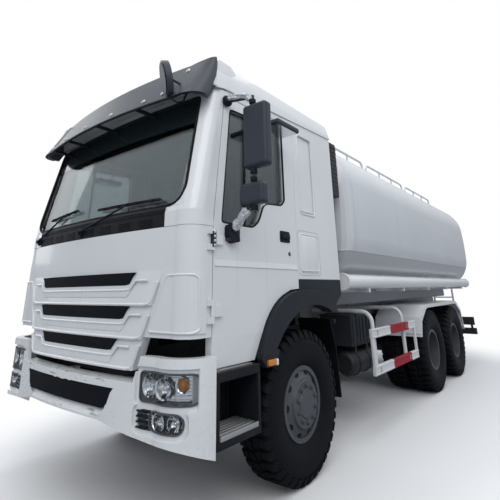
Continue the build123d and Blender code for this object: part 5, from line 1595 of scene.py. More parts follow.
@dataclass
class CabFront:
    """Trim of the cab's front: seal, corner fillets, cowl, wiper blades, mesh and pad frames."""

    screen_low: float = 2.035
    screen_top: float = 2.925
    half_low: float = 1.1
    half_top: float = 1.075
    cowl_half: float = 0.94
    corner: float = 0.17
    tiers: Tuple[Tuple[Tier, float, float], ...] = (
        (Tier(1.503, 1.588, 0.64, 0.69), 1.372, 0.86), (Tier(1.28, 1.362, 0.6, 0.645), 1.16, 0.786),
        (Tier(1.079, 1.155, 0.5, 0.55), 0.974, 0.72),
    )
    body: str = "cab"

    def seal(self) -> None:
        """Rubber round the windscreen."""
        low, top = self.screen_low, self.screen_top
        corners = ((-self.half_low, low), (self.half_low, low), (self.half_top, top), (-self.half_top, top))
        outline = dense(rounded(corners, (self.corner, self.corner, 0.06, 0.06)), 0.1)
        path = [screen_point(y, z, -0.004) for y, z in outline]
        Shape().tube(path, 0.013, 8, closed=True).build("screen_seal", SEAL, self.body)

    def fillets(self) -> None:
        """White corners below the screen's rounded ends."""
        shape = Shape()
        inner, outer = [], []
        steps = 12
        for k in range(steps + 1):
            t = k / steps
            a = t * math.pi / 2
            y = self.half_low - self.corner + self.corner * math.sin(a)
            z = self.screen_low + self.corner - self.corner * math.cos(a)
            inner.append(screen_point(y, z, 0.002))
            if t < 0.5:
                edge = (self.half_low - self.corner * (1 - 2 * t), self.screen_low - 0.002)
            else:
                edge = (self.half_low, self.screen_low + self.corner * (2 * t - 1))
            outer.append(screen_point(*edge, 0.002))
        shape.ribbon(inner, outer, (-0.016, 0.0, 0.0)).mirrored().build("screen_fillets", WHITE, self.body)

    def cowl(self) -> None:
        """Black lip under the screen, white ends, vents and cups round the wiper spindles."""
        low = CAB_FRONT.path(-self.cowl_half, self.cowl_half, 1.985, 0.003)
        high = [screen_point(p[1], 2.042, 0.003) for p in low]
        mid = [screen_point(p[1], 2.01, 0.011) for p in low]
        lip = Shape().ribbon(low, mid, (-0.006, 0.0, 0.0)).ribbon(mid, high, (-0.006, 0.0, 0.0))
        lip.build("cowl_lip", BLACK, self.body)
        ends = Shape()
        line = [(CAB_FRONT.x_at(y) + 0.003, y) for y in (self.cowl_half, 0.97, 1.0, 1.025)]
        line += CAB_FRONT.corner(0.003) + [(fa(1.165), 1.203)]
        foot = [(x, y, 1.8865) for x, y in line]
        head = [(x, y, 1.992) for x, y in line]
        ends.ribbon(foot, head, (-0.005, -0.005, 0.0))
        ends.mirrored().build("cowl_ends", WHITE, self.body)
        vents = Shape()
        for y in (-0.72, -0.5, -0.28, 0.02, 0.26, 0.5, 0.74):
            for k in range(4):
                z = 1.905 + 0.016 * k
                vents.tube(CAB_FRONT.path(y - 0.07, y + 0.07, z, 0.002, 5), 0.004, 6)
        cup = ((0.04, -0.004), (0.038, 0.012), (0.028, 0.02))
        for y in (-0.96, -0.09):
            vents.lathe(cup, (CAB_FRONT.x_at(y), y, 1.94), Axis.X.value, 20)
        vents.build("cowl_vents", BLACK, self.body)

    def wipers(self) -> None:
        """Blades with their holders along the CAD arms."""
        shape = Shape()
        for y0, z0, y1, z1 in ((-0.76, 2.12, -0.23, 2.15), (0.12, 2.105, 0.88, 2.09)):
            steps = 12
            near, far, back = [], [], []
            for k in range(steps + 1):
                t = k / steps
                y, z = y0 + (y1 - y0) * t, z0 + (z1 - z0) * t
                near.append(screen_point(y, z - 0.006, 0.014))
                far.append(screen_point(y, z + 0.012, 0.018))
                back.append(screen_point(y, z, -0.012))
            shape.ribbon(near, far, (-0.004, 0.0, 0.0))
            shape.ribbon(near, back, (0.002, 0.0, 0.003))
            for t in (0.12, 0.36, 0.5, 0.64, 0.88):
                y, z = y0 + (y1 - y0) * t, z0 + (z1 - z0) * t
                x = screen_point(y, z, 0.008)[0]
                shape.block((x - 0.012, y - 0.018, z - 0.01), (x + 0.014, y + 0.018, z + 0.012), 0.003)
        shape.build("wiper_blades", SEAL, self.body)

    def mesh(self) -> None:
        """Black mesh in the three slots with white infill below, and beads round bays and tiers."""
        shape, infill, beads = Shape(), Shape(), Shape()
        for tier, foot, side in self.tiers:
            panel(shape, GRILLE_FRONT, tier, 0.0015)
            plate = Tier(tier.low - 0.078, tier.low + 0.002, tier.half_low + 0.004, tier.half_low + 0.03)
            panel(infill, GRILLE_FRONT, plate, -0.0005)
            bay = [(tier.half_top + 0.13, tier.low + 0.03), (tier.half_top + 0.012, tier.low + 0.03)]
            bay += [(tier.half_low + 0.012, tier.low - 0.026), (tier.half_low - 0.05, tier.low - 0.032)]
            bay += [(-y, z) for y, z in reversed(bay)]
            beads.tube(GRILLE_FRONT.trace(dense(bay, 0.08, False), -0.005), 0.0095, 10)
            edge = [(side + 0.055, foot + 0.15), (side + 0.012, foot + 0.035)]
            edge += [(side - 0.012, foot + 0.012), (side - 0.06, foot + 0.004)]
            edge += [(-y, z) for y, z in reversed(edge)]
            beads.tube(GRILLE_FRONT.trace(dense(edge, 0.08, False), -0.006), 0.0115, 10)
        infill.build("grille_infill", WHITE, self.body)
        shape.build("grille_mesh", MESH, self.body)
        beads.build("grille_beads", WHITE, self.body, 60.0)

    def pads(self) -> None:
        """Raised frame round each corner pad."""
        shape = Shape()
        outline = rounded(((0.845, 1.21), (1.205, 1.21), (1.2, 1.56), (0.99, 1.56)), (0.03,) * 4, 5)
        shape.tube(PAD_FRONT.trace(dense(outline, 0.04), -0.005), 0.009, 10, closed=True)
        shape.mirrored().build("pad_frames", WHITE, self.body, 60.0)

    def build(self) -> None:
        """Dress the whole front."""
        self.seal()
        self.fillets()
        self.cowl()
        self.wipers()
        self.mesh()
        self.pads()


@dataclass
class FrontLamps:
    """Plates, reflectors, indicators, fins and bezels of the bumper's lamps, its mesh and its shelf."""

    body: str = "chassis"
    inset: float = 0.052
    bays: Tuple[Tuple[Flat, Flat, int, int], ...] = (
        ((0.842, 1.19), (0.824, 0.981), 14, 8), ((0.832, 1.168), (0.674, 0.776), 12, 1),
    )
    fog_middle: float = 0.724
    bowls: Tuple[Tuple[float, float, float, float, float], ...] = (
        (0.912, 0.905, 0.06, 0.036, 0.12), (1.03, 0.9, 0.056, 0.034, 0.2), (1.135, 0.925, 0.042, 0.024, 0.5),
        (1.0, 0.724, 0.044, 0.034, 0.16), (1.105, 0.724, 0.042, 0.03, 0.26),
    )
    amber_bowl: int = 2
    bulb: Line = ((0.026, 0.0), (0.026, 0.012), (0.021, 0.024), (0.012, 0.03))
    fin_heights: Tuple[float, ...] = (0.683, 0.712, 0.741, 0.77)
    bezels_at: Tuple[Tuple[Flat, Flat, float], ...] = (
        ((0.842, 0.82), (1.22, 0.985), 0.03), ((0.93, 0.674), (1.168, 0.776), 0.046),
    )
    shelf_deep: float = 0.1

    def behind(self, depth: float) -> Bow:
        """The bumper's outline set back by a depth."""
        front, edge_x = BUMPER_FRONT.front - depth, BUMPER_FRONT.edge_x - depth
        return Bow(front, edge_x, BUMPER_FRONT.edge_y, BUMPER_FRONT.half - depth)

    def bowl(self, shape: Shape, y: float, z: float, radius: float, depth: float, out: Point) -> None:
        """A dished reflector with its rim and its bulb's stem.

        Args:
            shape: The mesh in the making.
            y: Place across.
            z: Height.
            radius: The rim's radius.
            depth: The dish's depth.
            out: Direction in which it looks.
        """
        origin = (self.behind(self.inset).x_at(y) + 0.002, y, z)
        dish = [(radius * t, depth * t * t) for t in (0.18, 0.4, 0.6, 0.8, 1.0)]
        rim = [(radius + 0.004, depth), (radius + 0.004, depth - 0.006)]
        shape.lathe(dish + rim, origin, out, 28, capped=False)
        stem = [(radius * 0.18, 0.0), (radius * 0.2, depth * 0.5), (radius * 0.1, depth * 0.62)]
        shape.lathe(stem, origin, out, 12)

    def plates(self) -> None:
        """A ribbed plate behind each headlamp and a plain one behind each fog lamp."""
        floor = self.behind(self.inset)
        plate = Shape()
        for span, (low, top), steps, ribs in self.bays:
            foot = floor.path(*span, low, 0.0, steps)
            plate.ribbon(foot, floor.path(*span, top, 0.0, steps), (-0.004, 0.0, 0.0))
            for k in range(1, ribs):
                z = low + (top - low) * k / ribs
                plate.tube([(p[0], p[1], z) for p in foot], 0.004, 6)
        plate.mirrored().build("lamp_plates", REFLECTOR, self.body)

    def reflectors(self) -> None:
        """Three bowls in each headlamp and two in each fog lamp."""
        chrome = Shape()
        for y, z, radius, depth, turn in self.bowls:
            self.bowl(chrome, y, z, radius, depth, (1.0, turn, 0.0))
        chrome.mirrored().build("lamp_reflectors", REFLECTOR, self.body, 50.0)

    def indicators(self) -> None:
        """An amber bulb in the outer bowl of each headlamp."""
        y, z, _, _, turn = self.bowls[self.amber_bowl]
        at = (self.behind(self.inset).x_at(y) + 0.006, y, z)
        amber = Shape().lathe(self.bulb, at, (1.0, turn, 0.0), 18)
        amber.mirrored().build("front_indicators", AMBER, self.body)

    def fins(self) -> None:
        """Black fins inward of each fog lamp."""
        outer = self.behind(0.006)
        fins = Shape()
        for z in self.fin_heights:
            near = outer.path(0.826, 0.93 - abs(z - self.fog_middle) * 0.25, z, 0.0, 6)
            fins.ribbon(near, [(p[0] - 0.03, p[1], p[2] + 0.004) for p in near], (0.0, 0.0, -0.007))
        fins.mirrored().build("fog_fins", BLACK, self.body)

    def bezels(self) -> None:
        """A thin frame round each lamp."""
        rim = self.behind(0.014)
        bezel = Shape()
        for low, high, turn in self.bezels_at:
            outline = dense(rounded_box(low, high, turn), 0.04)
            bezel.tube(rim.trace(outline, 0.001), 0.006, 6, closed=True)
        bezel.mirrored().build("lamp_bezels", TRIM_GREY, self.body)

    def middle(self) -> None:
        """Mesh in the bumper's intake, and the shelf above it."""
        mesh = Shape()
        bow = Bow(fa(1.4998), fa(1.428), 0.968, 1.25)
        panel(mesh, bow, Tier(0.742, 0.866, 0.56, 0.61, 0.05), 0.0, 0.05)
        mesh.build("intake_mesh", MESH, self.body)
        near = BUMPER_FRONT.path(-0.79, 0.79, 0.912, -0.006, 30)
        far = [(x - self.shelf_deep, y, z + 0.004) for x, y, z in near]
        Shape().ribbon(near, far, (0.0, 0.0, -0.006)).build("bumper_shelf", BUMPER, self.body)

    def build(self) -> None:
        """Fill the lamps and the bumper's middle."""
        self.plates()
        self.reflectors()
        self.indicators()
        self.fins()
        self.bezels()
        self.middle()


@dataclass
class DoorTrim:
    """Seals, handle, lock, crease, inner panel and mirror dressing of one door."""

    side: Side
    face: float = 1.2
    window: Line = (
        (1.078, 1.925), (0.72, 1.925), (0.64, 1.975), (0.56, 2.14), (0.31, 2.16), (0.255, 2.21),
        (0.262, 2.88), (0.99, 2.845),
    )
    window_round: Tuple[float, ...] = (0.03, 0.03, 0.05, 0.06, 0.03, 0.03, 0.05, 0.04)
    vent_bar: Line = ((0.79, 1.93), (0.785, 2.4), (0.775, 2.85))
    crease_z: float = 1.62
    lock_at: Point = (0.215, 0.0, 1.75)
    glasses: Tuple[Tuple[float, Flat, Flat], ...] = (
        (0.9445, (1.376, 2.316), (1.564, 2.784)), (0.9545, (1.346, 2.046), (1.524, 2.169)),
    )
    frames: Tuple[Tuple[float, Flat, Flat], ...] = (
        (0.968, (1.364, 2.304), (1.5755, 2.796)), (0.978, (1.334, 2.034), (1.5355, 2.181)),
    )
    clamp: Line = ((0.024, -0.018), (0.026, -0.014), (0.026, 0.014), (0.024, 0.018))
    clamp_heights: Tuple[float, ...] = (2.272, 2.828, 2.215, 2.005)
    arm_foot: Line = ((0.925, 1.79), (1.0, 1.775), (1.05, 1.82), (1.05, 1.905), (0.99, 1.92))
    wraps: Tuple[Tuple[Tuple[Point, ...], float], ...] = (
        (
            ((1.045, 0.02, 2.895), (1.04, 0.07, 2.905), (1.025, 0.14, 2.9), (1.008, 0.2, 2.884),
             (1.0, 0.238, 2.84)),
            0.026,
        ),
        (((0.986, 0.04, 1.872), (0.988, 0.075, 1.915), (0.992, 0.12, 1.96), (0.997, 0.175, 2.01)), 0.031),
    )

    @property
    def body(self) -> str:
        """The door's body."""
        return f"door_{self.side.label()}_set"

    def at(self, x: float, out: float, z: float) -> Point:
        """A place given forward of the axle, outward of the door's face, and up."""
        return (fa(x), (self.face + out) * self.side.value, z)

    def box(self, shape: Shape, low: Point, high: Point, chamfer: float) -> None:
        """A block between two such places."""
        a, b = self.at(*low), self.at(*high)
        shape.block(tuple(min(p) for p in zip(a, b)), tuple(max(p) for p in zip(a, b)), chamfer)

    def named(self, shape: Shape, name: str, finish: Finish) -> bpy.types.Object:
        """Make the piece with the side's name on it."""
        return shape.build(f"{name}_{self.side.label()}", finish, self.body)

    def seals(self) -> None:
        """Rubber round the window and a vent bar across it."""
        outline = rounded(self.window, self.window_round, 5)
        shape = Shape().tube([self.at(x, -0.005, z) for x, z in outline], 0.0085, 8, closed=True)
        shape.tube([self.at(x, -0.028, z) for x, z in self.vent_bar], 0.011, 8)
        self.named(shape, "window_seal", SEAL)

    def outside(self) -> None:
        """Handle, lock and crease."""
        white = Shape()
        ends = (1.15, 0.1)
        top = [self.at(x, -0.001, self.crease_z + 0.05) for x in ends]
        edge = [self.at(x, 0.0065, self.crease_z) for x in ends]
        under = [self.at(x, -0.001, self.crease_z - 0.006) for x in ends]
        white.loft([[top[i], edge[i], under[i]] for i in (0, 1)])
        self.named(white, "door_crease", WHITE)
        black = Shape()
        plate = rounded_box((0.205, 1.842), (0.352, 1.938), 0.018, 4)
        black.loft([[self.at(x, out, z) for x, z in plate] for out in (0.0, 0.005)])
        self.box(black, (0.218, 0.004, 1.872), (0.34, 0.02, 1.91), 0.005)
        lock = self.at(*self.lock_at)
        black.lathe([(0.016, 0.0), (0.016, 0.006), (0.012, 0.008)], lock, self.out(), 20)
        self.named(black, "door_handle", BLACK)
        barrel = ((0.0095, 0.007), (0.0095, 0.0095), (0.008, 0.0105))
        self.named(Shape().lathe(barrel, lock, self.out(), 16), "door_lock", ALLOY)

    def out(self) -> Point:
        """Outward direction."""
        return (0.0, float(self.side.value), 0.0)

    def inside(self) -> None:
        """Padded inner panel with an armrest, a pull and a pocket."""
        shape = Shape()
        self.box(shape, (0.16, -0.072, 1.46), (1.06, -0.058, 1.9), 0.006)
        self.box(shape, (0.3, -0.125, 1.7), (0.82, -0.066, 1.765), 0.015)
        self.box(shape, (0.24, -0.11, 1.46), (0.96, -0.066, 1.56), 0.015)
        shape.tube([self.at(x, -0.1, z) for x, z in ((0.86, 1.66), (0.92, 1.72), (0.97, 1.8))], 0.012, 8)
        self.named(shape, "door_panel", TRIM_GREY)

    def upright(self, x: float, outline: Sequence[Flat]) -> List[Point]:
        """An outline in Y and Z, stood across the truck on the door's side."""
        return [(fa(x), y * self.side.value, z) for y, z in outline]

    def mirror_glass(self) -> None:
        """Glass of the two upright mirrors and of the kerb mirror."""
        glass = Shape()
        for x, low, high in self.glasses:
            glass.prism(self.upright(x, rounded_box(low, high, 0.02, 4)), (0.003, 0.0, 0.0))
        outline = rounded_box((0.346, 1.278), (0.644, 1.424), 0.03, 4)
        glass.prism([(fa(x), y * self.side.value, 2.7705) for x, y in outline], (0.0, 0.0, 0.003))
        self.named(glass, "mirror_glass", MIRROR_GLASS)

    def mirror_trim(self) -> None:
        """Seams of the mirror shells, clamps on their arm and the arm's two feet."""
        trim = Shape()
        for x, low, high in self.frames:
            trim.tube(self.upright(x, rounded_box(low, high, 0.034)), 0.004, 6, closed=True)
        for z in self.clamp_heights:
            trim.lathe(self.clamp, (fa(1.0), 1.44 * self.side.value, z), Axis.Z.value, 16)
        trim.lathe([(0.046, 0.0), (0.043, 0.02), (0.03, 0.032)], self.at(1.045, 0.016, 2.888), self.out(), 20)
        foot = rounded(self.arm_foot, (0.025,) * len(self.arm_foot), 4)
        trim.loft([[self.at(x, 0.002, z) for x, z in foot], [self.at(x, 0.05, z + 0.004) for x, z in foot]])
        self.named(trim, "mirror_trim", BLACK)

    def arm_wrap(self) -> None:
        """Film left on the mirror arms."""
        film = Shape()
        for line, wide in self.wraps:
            self.wrap(film, [self.at(*p) for p in line], wide)
        self.named(film, "arm_wrap", FILM)

    def wrap(self, shape: Shape, line: Sequence[Point], wide: float) -> None:
        """Loose film round an arm, creased along it.

        Args:
            shape: The mesh in the making.
            line: Points along the arm.
            wide: Mean radius of the wrapping.
        """
        rings = []
        spans = len(line) - 1
        count = spans * 7
        for k in range(count + 1):
            at = k * spans / count
            i = min(int(at), spans - 1)
            start, end = Vector(line[i]), Vector(line[i + 1])
            point = start.lerp(end, at - i)
            along = (end - start).normalized()
            side = along.cross(Vector(Axis.Z.value)).normalized()
            cross = along.cross(side)
            ends = min(1.0, 0.45 + 0.28 * min(k, count - k))
            ring = []
            for a in turns(18):
                crease = 1 + 0.14 * math.sin(2 * a + 0.5 * k) + 0.1 * math.sin(5 * a - 0.31 * k + 1.0)
                way = side * math.cos(a) + cross * math.sin(a)
                ring.append(tuple(point + way * (wide * ends * crease)))
            rings.append(ring)
        shape.loft(rings)

    def build(self) -> None:
        """Dress the door."""
        self.seals()
        self.outside()
        self.inside()
        self.mirror_glass()
        self.mirror_trim()
        self.arm_wrap()


@dataclass
class CabSides:
    """Drip rails, locker flaps, hinges, side lamps and the air intake's head."""

    body: str = "cab"
    face: float = 1.2
    gutter: Line = ((-0.705, 3.085), (0.2, 3.0425), (1.06, 3.0025), (1.15, 2.985))
    knuckle: Line = ((0.011, -0.009), (0.012, -0.007), (0.012, 0.007), (0.011, 0.009))
    flare_tip: Line = ((0.47, 1.03), (0.69, 1.03), (0.69, 0.985), (0.64, 0.925), (0.53, 0.925))
    intake_plan: Line = ((-0.905, 0.95), (-0.715, 0.95), (-0.715, 1.198), (-0.905, 1.198))
    intake_round: Tuple[float, ...] = (0.012, 0.012, 0.03, 0.06)
    intake_middle: Flat = (-0.81, 1.074)
    intake_levels: Line = ((2.44, 0.97), (2.46, 1.0), (3.04, 1.0), (3.06, 0.97))

    def flank(self, outline: Sequence[Flat], out: float) -> List[Point]:
        """An outline in X from the axle and Z, laid on the left side, so far outward."""
        return [(fa(x), self.face + out, z) for x, z in outline]

    def rails(self) -> None:
        """Gutter over the doors and along the quarter panels."""
        shape = Shape()
        low = self.flank([(x, z - 0.006) for x, z in self.gutter], -0.002)
        high = self.flank([(x, z + 0.012) for x, z in self.gutter], -0.002)
        shape.ribbon(low, high, (0.0, 0.013, 0.0)).mirrored().build("drip_rails", WHITE, self.body)

    def lockers(self) -> None:
        """Locker flaps with a shadow gap and a bar at the foot, and beads on the quarter panels."""
        gap, flap, ring = Shape(), Shape(), Shape()
        edge = rounded_box((-0.315, 1.574), (0.07, 1.972), 0.05)
        gap.tube(self.flank(edge, -0.001), 0.0016, 6, closed=True)
        inner = rounded_box((-0.285, 1.604), (0.04, 1.942), 0.045)
        core = rounded_box((-0.265, 1.624), (0.02, 1.922), 0.04)
        flap.loft([self.flank(inner, -0.001), self.flank(core, 0.006)])
        flap.tube(self.flank(inner, 0.0), 0.007, 8, closed=True)
        flap.block((fa(-0.27), self.face, 1.61), (fa(0.025), self.face + 0.012, 1.622), 0.004)
        gap.mirrored().build("locker_gaps", SEAL, self.body)
        flap.mirrored().build("locker_flaps", WHITE, self.body)
        bead = rounded_box((-0.275, 2.136), (-0.005, 2.937), 0.04)
        ring.tube(self.flank(bead, -0.004), 0.012, 10, closed=True)
        ring.block((fa(-0.25), self.face - 0.004, 2.155), (fa(-0.03), self.face + 0.009, 2.17), 0.004)
        ring.mirrored().build("quarter_beads", WHITE, self.body)

    def hinges(self) -> None:
        """Dark leaves with bright pins over the upper door hinges."""
        leaf, pin = Shape(), Shape()
        leaf.block((fa(1.158), 1.2, 1.742), (fa(1.19), 1.2275, 1.848), 0.004)
        for z in (1.752, 1.782, 1.812, 1.842):
            pin.lathe(self.knuckle, (fa(1.172), 1.226, z), Axis.Z.value, 12)
        leaf.mirrored().build("hinge_leaves", CHASSIS, self.body)
        pin.mirrored().build("hinge_pins", ALLOY, self.body)

    def lamps(self) -> None:
        """Flare tips that carry amber side lamps with a pale end."""
        tip, amber, pale = Shape(), Shape(), Shape()
        tip.prism([(fa(x), 1.19, z) for x, z in self.flare_tip], (0.0, 0.054, 0.0))
        tip.mirrored().build("flare_tips", FLARE, self.body)
        amber.block((fa(0.545), 1.243, 0.936), (fa(0.64), 1.266, 0.977), 0.007)
        pale.block((fa(0.518), 1.242, 0.931), (fa(0.545), 1.264, 0.975), 0.006)
        amber.mirrored().build("side_lamps", AMBER, self.body)
        pale.mirrored().build("side_lamp_ends", WHITE, self.body)

    def intake(self) -> None:
        """Mesh shell round the head of the air intake, with bars across it."""
        shape, bars = Shape(), Shape()
        outline = rounded(self.intake_plan, self.intake_round, 5)
        mx, my = self.intake_middle
        rings = []
        for z, share in self.intake_levels:
            rings.append([(fa(mx + (x - mx) * share), my + (y - my) * share, z) for x, y in outline])
        shape.loft(rings).build("intake_head", VENT_MESH, self.body)
        for k in range(1, 12):
            z = 2.45 + 0.05 * k
            bars.tube([(fa(x), y, z) for x, y in dense(outline, 0.05)], 0.004, 6, closed=True)
        bars.build("intake_bars", BLACK, self.body)

    def build(self) -> None:
        """Dress both sides of the cab."""
        self.rails()
        self.lockers()
        self.hinges()
        self.lamps()
        self.intake()


@dataclass
class VisorTrim:
    """Lip, domes, fairings, a lining of painted shade and end caps of the sun visor, and the look-down
    mirror's parts.
    """

    body: str = "cab"
    foot: float = 2.868
    lean: float = 0.205 / 0.372
    brackets: Tuple[float, ...] = (-0.95, -0.55, 0.0, 0.55)
    dome: Line = ((0.022, -0.004), (0.022, 0.003), (0.017, 0.009), (0.009, 0.012))
    dome_row: Tuple[float, ...] = (-0.98, -0.62, -0.2, 0.22, 0.64)
    dome_z: float = 2.93
    dome_others: Line = ((0.97, 3.17), (0.84, 2.95), (-0.84, 3.17))
    stay: Tuple[Point, ...] = (
        (1.405, 0.945, 2.95), (1.398, 0.965, 2.86), (1.378, 1.005, 2.822), (1.352, 1.05, 2.826),
        (1.335, 1.07, 2.9),
    )
    fairing: Tuple[Point, ...] = (
        (0.7, 3.17, 1.15), (0.86, 3.215, 1.17), (0.97, 3.246, 1.195), (1.1, 3.248, 1.197),
        (1.135, 3.23, 1.19),
    )
    fairing_in: float = 1.06
    fairing_low: float = 3.1
    cap_start: float = 0.98
    cap_back: Line = (
        (2.868, 1.262), (2.905, 1.24), (2.99, 1.2), (3.077, 1.165), (3.14, 1.156), (3.2, 1.152),
        (3.238, 1.16),
    )
    mirror_at: Point = (1.42, 0.93, 3.035)
    mirror_out: float = 0.032
    mirror_half: Flat = (0.078, 0.135)

    @property
    def bow(self) -> Bow:
        """The visor's lower edge in plan."""
        return Bow(fa(1.488), fa(1.403), 1.0, 1.185)

    def x_at(self, y: float, z: float) -> float:
        """X of the leaning visor at a place across and a height."""
        return self.bow.x_at(y) - self.lean * (z - self.foot)

    def edge(self) -> None:
        """Lip along the lower edge, with brackets behind it."""
        lip = Shape().tube(self.bow.path(-1.13, 1.13, 2.871, -0.012, 36), 0.011, 8)
        for y in self.brackets:
            x = self.bow.x_at(y)
            lip.block((x - 0.29, y - 0.02, 2.88), (x - 0.03, y + 0.02, 2.9), 0.004)
        lip.build("visor_lip", BLACK, self.body)

    def domes(self) -> None:
        """Bright domed heads on the visor's face."""
        shape = Shape()
        spots = [(y, self.dome_z, -0.001) for y in self.dome_row]
        spots += [(y, z, 0.0005) for y, z in self.dome_others]
        for y, z, out in spots:
            shape.lathe(self.dome, (self.x_at(y, z) + out, y, z), (1.0, 0.0, self.lean), 18)
        shape.build("visor_domes", ALLOY, self.body)

    def fairings(self) -> None:
        """White fairings on the roof behind the visor's ends."""
        inner, low = self.fairing_in, self.fairing_low
        rings = []
        for x, top, out in self.fairing:
            section = [(inner, low), (inner, top + 0.02), (1.15, top + 0.01)]
            section += [(out - 0.004, top), (out, top - 0.02), (out, low)]
            rings.append([(fa(x), y, z) for y, z in section])
        Shape().loft(rings).mirrored().build("visor_fairings", WHITE, self.body, 50.0)

    def lining(self) -> None:
        """Black sheet over the visor's inner face: painted shade under the visor."""
        low = self.bow.path(-1.12, 1.12, 2.885, -0.034, 36)
        high = [(x - self.lean * 0.3, y, z + 0.3) for x, y, z in low]
        Shape().ribbon(low, high, (-0.004, 0.0, 0.0)).build("visor_painted_shade", BLACK, self.body)

    def caps(self) -> None:
        """Rounded ends that wrap the visor back along the cab's sides."""
        rings = []
        for z, back in self.cap_back:
            start = Vector((self.x_at(self.cap_start, z) + 0.004, self.cap_start))
            turn = Vector((start[0] - 0.005, 1.222))
            last = Vector((fa(back), 1.212))
            shares = [k / 12 for k in range(13)]
            outer = [start * (1 - t) ** 2 + turn * (2 * t * (1 - t)) + last * t ** 2 for t in shares]
            ring = outer + [p - Vector((0.01, 0.008)) for p in reversed(outer)]
            rings.append([(p[0], p[1], z) for p in ring])
        Shape().loft(rings).mirrored().build("visor_caps", VISOR, self.body, 50.0)

    def look_down(self) -> None:
        """Oval glass of the look-down mirror, darkened as a painted reflection."""
        wide = Vector((0.55, 1.0, 0.0)).normalized()
        facing = Vector((1.0, -0.55, -0.25)).normalized()
        tall = facing.cross(wide)
        x, y, z = self.mirror_at
        centre = Vector((fa(x), y, z)) + facing * self.mirror_out
        ring = oval(centre, wide * self.mirror_half[0], tall * self.mirror_half[1], 32)
        Shape().prism(ring, tuple(facing * 0.004)).build("look_down_painted_reflection", LOOK_DOWN_PAINTED_REFLECTION, self.body)

    def build(self) -> None:
        """Dress the visor and the mirror that hangs before it."""
        self.edge()
        self.domes()
        route = [(fa(x), y, z) for x, y, z in self.stay]
        Shape().tube(route, 0.008, 10).build("mirror_stay", BLACK, self.body)
        self.fairings()
        self.lining()
        self.caps()
        self.look_down()


@dataclass
class SideGear:
    """Step grips, guard lips, straps, flap clamps and bolts along the chassis."""

    body: str = "chassis"
    band: float = 0.1285
    filler: Line = ((0.055, -0.02), (0.055, 0.02), (0.062, 0.024), (0.062, 0.05), (0.05, 0.058))
    rivet: Line = ((0.013, -0.001), (0.013, 0.006), (0.008, 0.009))
    rivets_long: int = 44

    def steps(self) -> None:
        """Ribs on the upper and lower treads, and a nose on the lower ones."""
        shape = Shape()
        for k in range(9):
            y = 1.004 + k * 0.0238
            shape.block((fa(0.765), y, 0.966), (fa(1.097), y + 0.012, 0.976), 0.003)
        for k in range(6):
            y = 1.034 + k * 0.032
            shape.block((fa(0.752), y, 0.614), (fa(1.105), y + 0.014, 0.6245), 0.003)
        shape.block((fa(0.742), 1.228, 0.59), (fa(1.115), 1.239, 0.622), 0.004)
        shape.mirrored().build("step_grips", ALLOY, self.body)

    def guards(self) -> None:
        """Rolled lips on the guard rails, their end posts and their bolts."""
        lips, bolts = Shape(), Shape()
        for low, high in ((0.563, 0.658), (0.93, 1.025)):
            for z in (low + 0.012, high - 0.012):
                lips.tube([(fa(-2.785), 1.2345, z), (fa(-1.305), 1.2345, z)], 0.0075, 8)
            for x in (-1.45, -2.43):
                for z in (low + 0.033, high - 0.033):
                    bolts.nut((fa(x), 1.236, z), Axis.Y.value, 0.009, 0.008)
        for x in (-1.302, -2.742):
            lips.block((fa(x) - 0.046, 1.206, 0.565), (fa(x), 1.234, 1.022), 0.004)
        lips.mirrored().build("guard_lips", GUARD, self.body)
        bolts.mirrored().build("guard_bolts", ALLOY, self.body)

    def boxes(self) -> None:
        """Battery lid with straps, air tank bands, fuel tank straps and cap."""
        black = Shape()
        black.block((fa(-1.868), 0.585, 1.146), (fa(-1.302), 0.998, 1.168), 0.008)
        for x in (-1.45, -1.72):
            black.block((fa(x) - 0.014, 0.6, 1.165), (fa(x) + 0.014, 1.014, 1.172), 0.002)
            black.block((fa(x) - 0.014, 1.008, 0.93), (fa(x) + 0.014, 1.016, 1.17), 0.002)
            for y in (0.9, 0.625):
                ring = [(y + self.band * math.cos(a), 0.655 + self.band * math.sin(a)) for a in turns(40)]
                black.tube([(fa(x) + 0.05, p, q) for p, q in ring], 0.006, 6, closed=True)
        outline = rounded_box((-1.153, 0.477), (-0.557, 1.013), 0.09, 6)
        for x in (-1.48, -1.92, -2.37):
            edges = [[(fa(x) + shift, y, z) for y, z in outline] for shift in (-0.022, 0.022)]
            black.loft(edges, capped=False)
        black.lathe(self.filler, (fa(-1.62), -0.9, 1.01), Axis.Z.value, 24)
        black.build("tank_straps", CHASSIS, self.body)

    def flaps(self) -> None:
        """Clamp bars and bolts at the mudflaps' tops."""
        low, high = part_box("mudflaps")
        shape = Shape()
        start = (low[0] - 0.004, 0.9, high[2] - 0.05)
        shape.block(start, (low[0] + 0.02, high[1] - 0.01, high[2] - 0.012), 0.004)
        for y in (0.93, 1.02, 1.09):
            shape.nut((low[0] - 0.004, y, high[2] - 0.031), (-1.0, 0.0, 0.0), 0.009, 0.008)
        shape.mirrored().build("flap_clamps", CHASSIS, self.body)

    def rivets(self) -> None:
        """Bolt heads along the frame rails."""
        shape = Shape()
        for i in range(self.rivets_long):
            for z in (0.80, 1.0):
                shape.lathe(self.rivet, (fa(0.6 - i * 0.165), 0.425, z), Axis.Y.value, 8)
        shape.mirrored().build("frame_bolts", CHASSIS, self.body)

    def build(self) -> None:
        """Dress the chassis."""
        self.steps()
        self.guards()
        self.boxes()
        self.flaps()
        self.rivets()


